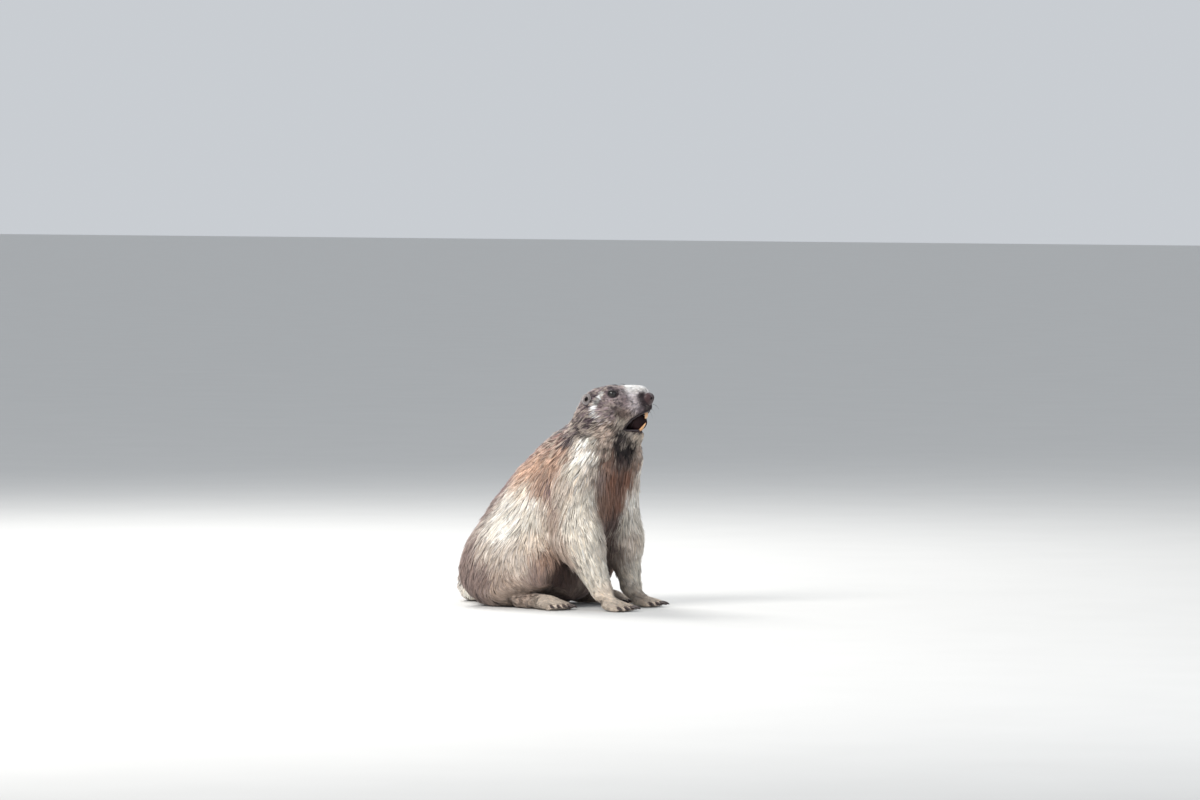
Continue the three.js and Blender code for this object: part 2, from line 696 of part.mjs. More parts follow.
// An ear is a low furred cup that opens outwards and a little forwards.
const EAR = {
  at: (s) => [-24.5, 34.6 * s, 13],
  out: (s) => [0.5, 0.86 * s, 0.1],
  wide: 5.6,
  high: 7.2,
  deep: 10,
};
function ear(s) {
  const rim = [
    [0, -EAR.deep],
    [6.2, -EAR.deep + 1],
    [9.2, -EAR.deep * 0.4],
    [10, 0.4],
    [9.2, 1.4],
    [8, 0.6],
    [6.8, -3.4],
    [3.6, -6],
    [0, -6.4],
  ];
  const cup = new THREE.LatheGeometry(rim.map(([r, z]) => new THREE.Vector2(r, z)), 14);
  cup.rotateX(Math.PI / 2).scale(EAR.wide / 10, EAR.high / 10, 1);
  const out = v3(EAR.out(s)).normalize();
  const frame = new THREE.Matrix4().lookAt(out, new THREE.Vector3(), new THREE.Vector3(0.3, 0, 1));
  return placed(cup.applyMatrix4(frame).translate(...EAR.at(s)));
}

const TONGUE = { at: [30.5, 0, -21], radii: [12, 8, 8] };
const tongue = (grow) => placed(ball(TONGUE.at, TONGUE.radii.map((r) => r + grow), 12, 8));
const headRoom = solid(grown(headSkinMesh));
const headSkin = solid(headSkinMesh).subtract(mouth).subtract(hollow);

const upperTeeth = [-1, 1].map((s) => incisor(INCISORS.upper, s, GAP));
const lowerTeeth = [-1, 1].map((s) => incisor(INCISORS.lower, s, GAP));
const headMade = together(headSkin, placed(lip(MOUTH.upper)), lids(-1), lids(1));
const eyeRooms = [-1, 1].map((s) => eyeball(s, GAP));
const headCuts = [...eyeRooms, nosePad(GAP), ...upperTeeth, tongue(GAP), jawPrism];
add("head", without(headMade, ...headCuts).intersect(ahead(HEAD_CUT)), COLOURS.head);
const jawMade = headSkin.add(placed(lip([...MOUTH.lower].reverse())));
add(
  "jaw",
  without(jawMade, ...lowerTeeth, tongue(GAP)).intersect(jawRoom).intersect(ahead(HEAD_CUT)),
  COLOURS.head,
);
add("nose", without(nosePad(0), nostril(-1), nostril(1)), COLOURS.nose, 0.5);
add("tongue", without(tongue(0), ...lowerTeeth), COLOURS.tongue, 0.5);
for (const [side, s] of [
  ["right", -1],
  ["left", 1],
]) {
  add(`ear_${side}`, ear(s).subtract(headRoom), COLOURS.ear);
  add(`eye_${side}`, eyeball(s), COLOURS.eye, 0.08);
  add(`incisor_upper_${side}`, incisor(INCISORS.upper, s), COLOURS.tooth, 0.35);
  add(`incisor_lower_${side}`, incisor(INCISORS.lower, s), COLOURS.tooth, 0.35);
}

// Feet: a field of their own with the digits in a fan, and a claw on each digit.
const CLAW = { long: 12, thick: 1.9 };
function fan(from, heading, { digits, spread, long, thick }) {
  return Array.from({ length: digits }, (_, i) => {
    const side = i / (digits - 1) - 0.5;
    const turn = heading + radians(26 * side);
    const reach = long * (1 - 0.5 * side * side);
    const across = [-Math.sin(heading) * spread * side, Math.cos(heading) * spread * side];
    const root = [from[0] + across[0], from[1] + across[1], from[2]];
    const tip = [root[0] + reach * Math.cos(turn), root[1] + reach * Math.sin(turn), thick - 0.9];
    return { root, tip, turn, thick };
  });
}

const digitMass = ({ root, tip, thick }) => taper(root, tip, thick + 1, thick);
function claw({ tip, turn }) {
  const along = [Math.cos(turn), Math.sin(turn)];
  const path = [-0.25, 0.4, 1].map((t) => {
    const fall = 1.6 - 2.6 * t * t;
    return [tip[0] + along[0] * (2 + t * CLAW.long), tip[1] + along[1] * (2 + t * CLAW.long), tip[2] + fall];
  });
  const size = (t) => (t < 1 ? [CLAW.thick * (1 - 0.5 * t), CLAW.thick * (1.25 - 0.55 * t)] : [0, 0]);
  return solid(bar(path, 4, size, () => [-along[1], along[0], 0]));
}

function footOf(masses, digits, low, high) {
  const skin = skinOf(joined([...masses, ...digits.map(digitMass)], 7), low, high, FOOT_STEP);
  return { skin, made: together(solid(skin), ...digits.map(claw)).subtract(floor) };
}

function forepaw(leg) {
  const [x, y, z] = leg.wrist;
  const heading = radians(4 * leg.side);
  const digits = fan([x + 15, y, 9], heading, FOREPAW);
  const masses = [taper(leg.elbow, leg.wrist, 24, 13.6), taper(leg.wrist, [x + 14, y, 10], 13, 9.5)];
  return footOf(masses, digits, [x - 28, y - 33, -5], [x + 60, y + 34, z + 24]);
}

function hindfoot(leg) {
  const [heel, toes] = [leg.heel, leg.toes];
  const heading = Math.atan2(toes[1] - heel[1], toes[0] - heel[0]);
  const digits = fan(toes, heading, HINDFOOT);
  const sole = taper(heel, toes, 13, 10.5, 1.25);
  const hock = taper([heel[0] + 4, heel[1], 14], [heel[0], heel[1], 24], 12, 13);
  const masses = [sole, hock];
  return footOf(masses, digits, [-30, heel[1] - 40, -6], [110, heel[1] + 40, 62]);
}

// A prism of two unlike round ends and their common tangents, standing across the animal on one of its
// sides.
function stadium(from, to, radii, side, deep, reach = 130) {
  const [dx, dz] = [to[0] - from[0], to[2] - from[2]];
  const heading = Math.atan2(dz, dx);
  const lean = Math.acos((radii[0] - radii[1]) / Math.hypot(dx, dz));
  const shape = new THREE.Shape();
  shape.absarc(to[0], to[2], radii[1], heading - lean, heading + lean, false);
  shape.absarc(from[0], from[2], radii[0], heading + lean, heading - lean + 2 * Math.PI, false);
  const depth = reach - deep;
  const geometry = new THREE.ExtrudeGeometry(shape, { depth, bevelEnabled: false, curveSegments: 8 });
  geometry.rotateX(Math.PI / 2);
  return geometry.translate(0, side > 0 ? reach : -deep, 0);
}

function share(limb, prisms, grow = 0) {
  const parts = prisms.map(({ ends, radii, deep }) => {
    const [from, to] = ends.map((name) => limb[name]);
    return solid(stadium(from, to, radii.map((r) => r + grow), limb.side, deep - grow));
  });
  return together(...parts);
}

// The tail's share: all that lies behind the rump and outside a ball that takes in the rump.
const RUMP = { at: [-50, 0, 58], radii: [72, 77, 70] };
const TAIL_BOX = { low: [-210, -50, -20], high: [-109, 190, 100] };
const rumpBall = (grow) => solid(ball(RUMP.at, RUMP.radii.map((r) => r + grow), 22, 14));
function tailBox(grow) {
  const [low, high] = [TAIL_BOX.low.map((c) => c - grow), TAIL_BOX.high.map((c) => c + grow)];
  const geometry = new THREE.BoxGeometry(...high.map((c, axis) => c - low[axis]));
  return solid(geometry.translate(...high.map((c, axis) => (c + low[axis]) / 2)));
}
const tailRoom = tailBox(0).subtract(rumpBall(GAP));
const tailCut = tailBox(GAP).subtract(rumpBall(0));

const SIDES = ["right", "left"];
const feet = Object.fromEntries(
  SIDES.map((side) => [side, { fore: forepaw(FORELEGS[side]), hind: hindfoot(HINDLEGS[side]) }]),
);

const limbSkins = {
  right: solid(skinOf(coreOf(bodyField), [5, -115, -20], [175, -10, 235], LIMB_STEP)),
  left: solid(skinOf(coreOf(bodyField), [5, 10, -20], [150, 115, 235], LIMB_STEP)),
};
const torsoCuts = SIDES.flatMap((side) => [
  share(FORELEGS[side], SHARES.foreleg, GAP),
  solid(grown(feet[side].hind.skin)),
]);
const torso = (name) => without(furred(bodySkin, name).intersect(behind(NECK_CUT)), ...torsoCuts);
const thighCuts = SIDES.map((side) => share(HINDLEGS[side], SHARES.thigh, GAP));
add("neck", furred(bodySkin, "neck").intersect(behind(HEAD_CUT)).intersect(ahead(NECK_CUT)), COLOURS.head);
add("chest", without(torso("chest").intersect(ahead(WAIST_CUT)), ...thighCuts), COLOURS.chest);
add("abdomen", without(torso("abdomen").intersect(behind(WAIST_CUT)), ...thighCuts, tailCut), COLOURS.back);
for (const side of SIDES) {
  const leg = FORELEGS[side];
  const down = v3(leg.wrist).sub(v3(leg.elbow)).normalize();
  const wrist = { at: v3(leg.wrist).addScaledVector(down, -4).toArray(), normal: down.toArray() };
  const arm = furred(limbSkins[side], `foreleg_${side}`);
  const limb = arm.intersect(behind(NECK_CUT)).intersect(share(leg, SHARES.foreleg));
  const thigh = torso(`thigh_${side}`).intersect(share(HINDLEGS[side], SHARES.thigh));
  add(`foreleg_${side}`, limb.intersect(behind(wrist)), COLOURS.pale);
  add(`forepaw_${side}`, feet[side].fore.made.intersect(ahead(wrist)), COLOURS.foot);
  add(`thigh_${side}`, thigh.subtract(tailCut), COLOURS.pale);
  add(`hindfoot_${side}`, feet[side].hind.made, COLOURS.foot);
}

const TAIL_CUT = { at: [-151, 70, 22], normal: [0.06, 0.99, -0.05] };
const TAIL_REACH = [
  [-202, -61, -34],
  [-50, 175, 100],
];
const tailSkin = solid(skinOf(coreOf(outline), ...TAIL_REACH, LIMB_STEP));
const tailPieceOf = (p) => (isAhead(TAIL_CUT, p) ? "tail_tip" : "tail_base");
const tailLocks = locksOn(outline, ...TAIL_REACH, 5, tailPieceOf);
const tail = (name) => together(tailSkin, ...tailLocks(name)).intersect(tailRoom).subtract(floor);
add("tail_base", tail("tail_base").intersect(behind(TAIL_CUT)), COLOURS.pale);
add("tail_tip", tail("tail_tip").intersect(ahead(TAIL_CUT)), COLOURS.tip);

export default part;
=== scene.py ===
"""An alpine marmot, life size, dressed in its coat over the solids of its body.

Lengths are in millimetres, with +Z up, +X the way the chest faces and +Y the animal's left, until a
mesh is made in metres. The skin is the surface of a field of soft masses, and the coat is many tapered
tufts that start on it and follow the lie of the hair out to the animal's outline.
"""

import logging
import math
from dataclasses import dataclass, field
from enum import Enum
from typing import Callable

import bpy
import numpy as np
from mathutils import Matrix, Vector
from mathutils.kdtree import KDTree


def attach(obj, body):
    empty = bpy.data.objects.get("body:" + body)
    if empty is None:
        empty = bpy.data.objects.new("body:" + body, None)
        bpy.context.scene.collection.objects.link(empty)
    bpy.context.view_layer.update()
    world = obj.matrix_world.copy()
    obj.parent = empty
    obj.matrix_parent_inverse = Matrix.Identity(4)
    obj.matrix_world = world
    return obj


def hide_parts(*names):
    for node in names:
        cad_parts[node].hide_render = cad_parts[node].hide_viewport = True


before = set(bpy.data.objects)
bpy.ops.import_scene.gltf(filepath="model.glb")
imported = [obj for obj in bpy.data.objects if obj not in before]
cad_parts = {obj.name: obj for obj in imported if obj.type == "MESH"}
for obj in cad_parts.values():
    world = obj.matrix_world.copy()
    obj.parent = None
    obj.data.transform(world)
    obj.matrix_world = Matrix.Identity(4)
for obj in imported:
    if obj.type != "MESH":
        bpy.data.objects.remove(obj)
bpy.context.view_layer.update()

LOG = logging.getLogger("marmot")
MM = 0.001
PATCH = 0.003  # across the patch of one tuft on the coat laid flat
MOST_PLACES = 250000  # measured at a time
FAR_OFF = 90.0  # the distance given where a mass is too far off to matter
SEAT = np.array([-45.0, 0.0, 0.0])  # middle of the flat it sits on, and the origin
Vec = tuple[float, float, float]
Rgb = tuple[float, float, float]


# Small tools


def unit(v: np.ndarray) -> np.ndarray:
    """Rows scaled to length one."""
    return v / np.maximum(np.linalg.norm(v, axis=-1, keepdims=True), 1e-9)


def smooth(low: float, high: float, x: np.ndarray) -> np.ndarray:
    """A soft step from 0 at low to 1 at high."""
    t = np.clip((x - low) / (high - low), 0.0, 1.0)
    return t * t * (3.0 - 2.0 * t)


def linear(hexed: int) -> np.ndarray:
    """The linear colour of a screen colour written as 0xRRGGBB."""
    c = np.array([(hexed >> shift) & 255 for shift in (16, 8, 0)]) / 255.0
    return np.where(c <= 0.04045, c / 12.92, ((c + 0.055) / 1.055) ** 2.4)


def noise(p: np.ndarray, size: float, seed: int) -> np.ndarray:
    """Soft random values from -1 to 1 that change over a length.

    Args:
        p: Places, one a row.
        size: Length over which the values change.
        seed: Picks the pattern.

    Returns:
        One value for each place.
    """
    q = p / size + 113.7
    cell = np.floor(q).astype(np.int64)
    t = q - cell
    t = t * t * (3.0 - 2.0 * t)
    total = np.zeros(len(p))
    for corner in range(8):
        step = np.array([corner & 1, (corner >> 1) & 1, corner >> 2])
        key = (cell + step) @ np.array([73856093, 19349663, 83492791]) + seed * 2654435761
        key = (key ^ (key >> 13)) * 1274126177 & 0xFFFFFFFF
        value = ((key ^ (key >> 16)) & 0xFFFF) / 32767.5 - 1.0
        weight = np.prod(np.where(step, t, 1.0 - t), axis=1)
        total += weight * value
    return total


def turned(v: np.ndarray, axis: np.ndarray, angle: np.ndarray) -> np.ndarray:
    """Directions turned about axes.

    Args:
        v: Directions, one a row.
        axis: A unit axis for each.
        angle: An angle for each, in radians.

    Returns:
        The turned directions.
    """
    c, s = np.cos(angle)[:, None], np.sin(angle)[:, None]
    along = np.sum(axis * v, axis=1, keepdims=True)
    return c * v + s * np.cross(axis, v) + (1.0 - c) * along * axis


# The animal's form


@dataclass(frozen=True)
class Egg:
    """An ellipsoid, leaned over in the plane of the spine."""

    at: Vec
    radii: Vec
    lean: float = 0.0

    def distance(self, p: np.ndarray) -> np.ndarray:
        """About how far each place is outside it.

        Args:
            p: Places, one a row.

        Returns:
            Millimetres outside it, and negative inside.
        """
        c, s = math.cos(math.radians(self.lean)), math.sin(math.radians(self.lean))
        d = p - np.array(self.at, p.dtype)
        q = np.stack([c * d[:, 0] + s * d[:, 2], d[:, 1], c * d[:, 2] - s * d[:, 0]], axis=1)
        r = np.array(self.radii, p.dtype)
        far = np.linalg.norm(q / r, axis=1)
        slope = np.linalg.norm(q / (r * r), axis=1)
        return np.where(slope < 1e-6, -min(self.radii), far * (far - 1.0) / np.maximum(slope, 1e-6))


@dataclass(frozen=True)
class Taper:
    """A cone with round ends, wider across the animal by a factor."""

    start: Vec
    end: Vec
    r0: float
    r1: float
    width: float = 1.0

    def distance(self, p: np.ndarray) -> np.ndarray:
        """How far each place is outside it.

        Args:
            p: Places, one a row.

        Returns:
            Millimetres outside it, and negative inside.
        """
        stretch = np.array([1.0, 1.0 / self.width, 1.0], p.dtype)
        axis = (np.array(self.end) - np.array(self.start)).astype(p.dtype) * stretch
        q = (p - np.array(self.start, p.dtype)) * stretch
        t = np.clip(q @ axis / (axis @ axis), 0.0, 1.0)
        return np.linalg.norm(q - t[:, None] * axis, axis=1) - (self.r0 + t * (self.r1 - self.r0))


def mirrored(point: Vec, side: float) -> np.ndarray:
    """A point of the left side, or its mirror image on the right for a side of -1."""
    return np.array([point[0], point[1] * side, point[2]])


def blended(distances: list[np.ndarray], blend: float) -> np.ndarray:
    """The distance to masses that run softly into each other.

    Args:
        distances: The distances to each mass.
        blend: The length over which two of them join.

    Returns:
        The joined distance for each place.
    """
    total = distances[0]
    for d in distances[1:]:
        near = np.maximum(blend - np.abs(total - d), 0.0) / blend
        total = np.minimum(total, d) - near * near * (blend / 4.0)
    return total


@dataclass
class Masses:
    """Masses that only matter inside a box, which saves time elsewhere."""

    masses: list[Egg | Taper]
    blend: float
    low: Vec
    high: Vec
    place: "HeadPlace | None" = None

    def distance(self, p: np.ndarray) -> np.ndarray:
        """The joined distance, or a large one outside the box.

        Args:
            p: Places, one a row.

        Returns:
            Millimetres outside it, and negative inside.
        """
        found = np.full(len(p), FAR_OFF, p.dtype)
        inside = np.all((p > np.array(self.low)) & (p < np.array(self.high)), axis=1)
        if inside.any():
            q = p[inside] if self.place is None else self.place.local(p[inside])
            found[inside] = blended([m.distance(q) for m in self.masses], self.blend)
        return found


@dataclass(frozen=True)
class HeadPlace:
    """Where the head is and how far it is turned: its x runs along the muzzle, and z is up."""

    at: Vec = (100.0, 8.0, 267.0)
    turn: float = 18.0

    def local(self, p: np.ndarray) -> np.ndarray:
        """Body places in the head's own frame.

        Args:
            p: Places in the body's frame.

        Returns:
            The same places in the head's.
        """
        c, s = math.cos(math.radians(self.turn)), math.sin(math.radians(self.turn))
        d = p - np.array(self.at, p.dtype)
        return np.stack([c * d[:, 0] + s * d[:, 1], c * d[:, 1] - s * d[:, 0], d[:, 2]], axis=1)

    def spread(self, q: np.ndarray) -> np.ndarray:
        """Directions of the head's frame in the body's."""
        c, s = math.cos(math.radians(self.turn)), math.sin(math.radians(self.turn))
        return np.stack([c * q[:, 0] - s * q[:, 1], s * q[:, 0] + c * q[:, 1], q[:, 2]], axis=1)

    def body(self, q: np.ndarray) -> np.ndarray:
        """Places of the head's frame in the body's."""
        return self.spread(q) + np.array(self.at)


HEAD = HeadPlace()
SIDES = (-1, 1)  # right, left


@dataclass(frozen=True)
class Leg:
    """A leg's joints, from the trunk to the ground, and its radii at them."""

    side: int
    joints: tuple[Vec, ...]
    radii: Vec = (48, 36, 0)


FORELEGS = (
    Leg(-1, ((80, -46, 162), (90, -53, 94), (126, -51, 27)), (29, 30, 15)),
    Leg(1, ((82, 45, 162), (87, 51, 92), (100, 50, 28)), (29, 25, 15)),
)
HINDLEGS = (
    Leg(-1, ((-42, -56, 66), (22, -66, 56), (2, -66, 12), (52, -74, 9))),
    Leg(1, ((-42, 56, 66), (22, 66, 56), (2, 66, 12), (52, 74, 9))),
)
TAIL = ((-100, 2, 42), (-134, 22, 25), (-150, 58, 21.5), (-142, 98, 19.5), (-126, 126, 12))
TAIL_RADII = (30, 25, 23, 21, 13)


@dataclass(frozen=True)
class Digits:
    """A fan of digits and the claws on them."""

    count: int
    spread: float
    long: float
    thick: float
    claw_long: float = 12.0
    claw_thick: float = 1.9

    def rows(self, start: Vec, heading: float) -> list[tuple[Vec, Vec, float]]:
        """Where the digits are.

        Args:
            start: The middle of their roots.
            heading: The way the foot points, in radians.

        Returns:
            Root, tip and direction of each digit.
        """
        made = []
        for i in range(self.count):
            side = i / (self.count - 1) - 0.5
            turn = heading + math.radians(26.0 * side)
            reach = self.long * (1.0 - 0.5 * side * side)
            root = (
                start[0] - math.sin(heading) * self.spread * side,
                start[1] + math.cos(heading) * self.spread * side,
                start[2],
            )
            tip = (root[0] + reach * math.cos(turn), root[1] + reach * math.sin(turn), self.thick - 0.9)
            made.append((root, tip, turn))
        return made


FOREPAW = Digits(4, 22.0, 26.0, 5.2)
HINDFOOT = Digits(5, 25.0, 27.0, 5.4)


def forepaw_rows(leg: Leg) -> list[tuple[Vec, Vec, float]]:
    """The digits of a forepaw."""
    x, y, _ = leg.joints[2]
    return FOREPAW.rows((x + 15.0, y, 9.0), math.radians(4.0 * leg.side))


def hindfoot_rows(leg: Leg) -> list[tuple[Vec, Vec, float]]:
    """The digits of a hind foot."""
    heel, toes = leg.joints[2], leg.joints[3]
    return HINDFOOT.rows(toes, math.atan2(toes[1] - heel[1], toes[0] - heel[0]))


class Polygon:
    """A closed outline in the plane of the head's middle, as a signed distance."""

    def __init__(self, corners: list[tuple[float, float]]) -> None:
        """Keeps the corners as an array."""
        self.corners = np.array(corners, np.float64)

    def distance(self, q: np.ndarray) -> np.ndarray:
        """Signed distance of head places from the outline, negative inside.

        Args:
            q: Places in the head's own frame, one a row.

        Returns:
            Millimetres outside it, and negative inside.
        """
        p = q[:, [0, 2]].astype(np.float64)
        best = np.full(len(p), 1e9)
        inside = np.zeros(len(p), bool)
        for a, b in zip(self.corners, np.roll(self.corners, -1, axis=0)):
            e, w = b - a, p - a
            t = np.clip(w @ e / (e @ e), 0.0, 1.0)
            best = np.minimum(best, np.linalg.norm(w - t[:, None] * e, axis=1))
            crosses = (a[1] > p[:, 1]) != (b[1] > p[:, 1])
            rise = np.where(abs(e[1]) < 1e-9, 1e-9, e[1])
            inside ^= crosses & (p[:, 0] < a[0] + (p[:, 1] - a[1]) * e[0] / rise)
        return np.where(inside, -best, best)


UPPER_LIP = [(23.5, -26.5), (28.0, -18.7), (32.4, -13.5), (39.7, -9.2), (54.0, -2.0), (76.0, 5.0)]
LOWER_LIP = [(76.0, -28.5), (25.0, -28.5)]
EYE_AT = (8.6, 24.6, 20.0)
EYE_OUT = (0.3, 0.93, 0.16)
EYE_RADIUS = 6.4
NOSE_AT = (46.5, 0.0, 13.0)
NOSE_RADII = (11.3, 12.0, 10.6)
EAR_AT = (-24.5, 34.6, 13.0)
EAR_OUT = (0.5, 0.86, 0.1)


class Form:
    """The animal's outline to the tips of its coat, and the skin under the coat."""

    def __init__(self) -> None:
        """Builds the masses of the body from its joints and sizes."""
        trunk = [
            Taper((-50, 0, 58), (-15, 0, 91), 68, 75, 1.06),
            Taper((-15, 0, 91), (22, 0, 136), 73, 71, 1.04),
            Taper((22, 0, 136), (51, 0, 175), 71, 63),
            Egg((24, 0, 62), (52, 66, 58)),
            Egg((72, 2, 146), (36, 46, 52), 20),
            Taper((55, 0, 180), (84, 2, 228), 59, 42),
            Taper((82, 2, 226), (82, 2, 245), 40, 26),
            Egg((98, 28, 200), (32, 32, 37), 10),
            Egg((82, -28, 200), (31, 30, 36), 10),
        ]
        for leg in FORELEGS:
            shoulder, elbow, wrist = leg.joints
            top, bend, end = leg.radii
            trunk += [Taper(shoulder, elbow, top, bend), Taper(elbow, wrist, bend, end)]
        for leg in HINDLEGS:
            hip, knee = leg.joints[:2]
            top, bend, _ = leg.radii
            trunk += [Taper(hip, knee, top, bend, 0.85), Egg((hip[0] + 4, hip[1], 42), (62, 38, 42))]
        self.trunk = trunk
        skull: list[Egg | Taper] = [Egg((-16, 0, 1), (24, 33, 27))]
        skull += [Egg((-9, 19 * s, -8), (26, 20, 24)) for s in SIDES]
        skull += [Taper((2, 0, 9), (40, 0, 15), 23, 14.8, 1.06), Egg((30, 0, 20), (18, 10, 9.5))]
        skull += [Egg((40.5, 8.5 * s, 3), (11.8, 9.5, 11)) for s in SIDES]
        skull += [Taper((20, 0, -7), (41, 0, 1), 18, 10.5, 1.1)]
        skull += [Egg((5, 18.5 * s, 17), (19, 11, 12.5)) for s in SIDES]
        skull += [Taper((-6, 0, -24), (35, 0, -33.5), 22, 9.5, 1.05)]
        self.skull = Masses(skull, 9.0, (15, -80, 165), (215, 100, 340), HEAD)
        tail = [
            Taper(a, b, r, s) for a, b, r, s in zip(TAIL, TAIL[1:], TAIL_RADII, TAIL_RADII[1:])
        ]
        self.tail = Masses(tail, 22.0, (-215, -70, -40), (-30, 180, 110))
        self.feet = []
        for leg in FORELEGS:
            x, y, _ = leg.joints[2]
            digits = [Taper(a, b, FOREPAW.thick + 1, FOREPAW.thick) for a, b, _ in forepaw_rows(leg)]
            palm = Taper(leg.joints[2], (x + 14, y, 10), 13, 9.5)
            self.feet.append(Masses([palm, *digits], 7.0, (x - 30, y - 40, -30), (x + 75, y + 40, 60)))
        for leg in HINDLEGS:
            heel, toes = leg.joints[2:]
            digits = [Taper(a, b, HINDFOOT.thick + 1, HINDFOOT.thick) for a, b, _ in hindfoot_rows(leg)]
            sole = Taper(heel, toes, 13, 10.5, 1.25)
            low, high = (-40, heel[1] - 45, -30), (115, heel[1] + 45, 55)
            self.feet.append(Masses([sole, *digits], 7.0, low, high))
        self.mouth = Polygon(UPPER_LIP + LOWER_LIP)
        self.hollow = Egg((27, 0, -19), (17, 12, 10))

    def outline(self, p: np.ndarray) -> np.ndarray:
        """Distance outside the tips of the coat.

        Args:
            p: Places, one a row.

        Returns:
            Millimetres outside them, and negative inside.
        """
        body = blended([m.distance(p) for m in self.trunk] + [self.skull.distance(p)], 22.0)
        found = blended([body, self.tail.distance(p)], 11.0)
        return blended([found] + [foot.distance(p) for foot in self.feet], 5.0)

    def slope(self, p: np.ndarray, reach: float = 0.6) -> tuple[np.ndarray, np.ndarray]:
        """How the outline's distance changes at places.

        Args:
            p: Places, one a row.
            reach: The step over which it is measured.

        Returns:
            The distance, and its slope along each axis.
        """
        off = self.outline(p)
        steps = [self.outline(p + np.eye(3, dtype=p.dtype)[a] * reach) for a in range(3)]
        return off, np.stack([(s - off) / reach for s in steps], axis=1)

    def on_level(self, p: np.ndarray, level: np.ndarray, rounds: int = 2) -> tuple[np.ndarray, np.ndarray]:
        """Moves places to where the outline's distance has a value.

        Args:
            p: Places near the surface.
            level: The distance wanted for each.
            rounds: How often they are moved.

        Returns:
            The places and the unit normals there.
        """
        for _ in range(rounds):
            off, g = self.slope(p)
            steep = np.maximum(np.sum(g * g, axis=1), 0.25)
            p = p - ((off - level) / steep)[:, None] * g
        return p, unit(g)

    def mouth_distance(self, p: np.ndarray) -> np.ndarray:
        """Distance outside the open mouth.

        Args:
            p: Places in the body's frame.

        Returns:
            Millimetres outside it, and negative inside.
        """
        q = HEAD.local(p)
        found = np.minimum(self.mouth.distance(q), self.hollow.distance(q))
        return np.where(q[:, 0] > 5.0, found, 60.0)

    def skin(self, p: np.ndarray) -> np.ndarray:
        """Distance outside the skin, which lies under the coat and has the mouth cut into it.

        Args:
            p: Places, one a row.

        Returns:
            Millimetres outside it, and negative inside.
        """
        found = self.outline(p) + skin_depth(COAT.at(p).deep)
        head = np.all((p > np.array([110, -40, 205])) & (p < np.array([215, 90, 300])), axis=1)
        if head.any():
            found[head] = np.maximum(found[head], -self.mouth_distance(p[head]))
        return np.maximum(found, 0.4 - p[:, 2])


# The lie of the coat


@dataclass(frozen=True)
class Guide:
    """How the coat is at one place: the way it points, its depth, and the length and width of its tufts."""

    at: Vec
    way: Vec
    deep: float
    long: float
    wide: float
    on_head: bool = False
    both: bool = False


@dataclass
class Local:
    """The coat at many places."""

    way: np.ndarray
    deep: np.ndarray
    long: np.ndarray
    wide: np.ndarray


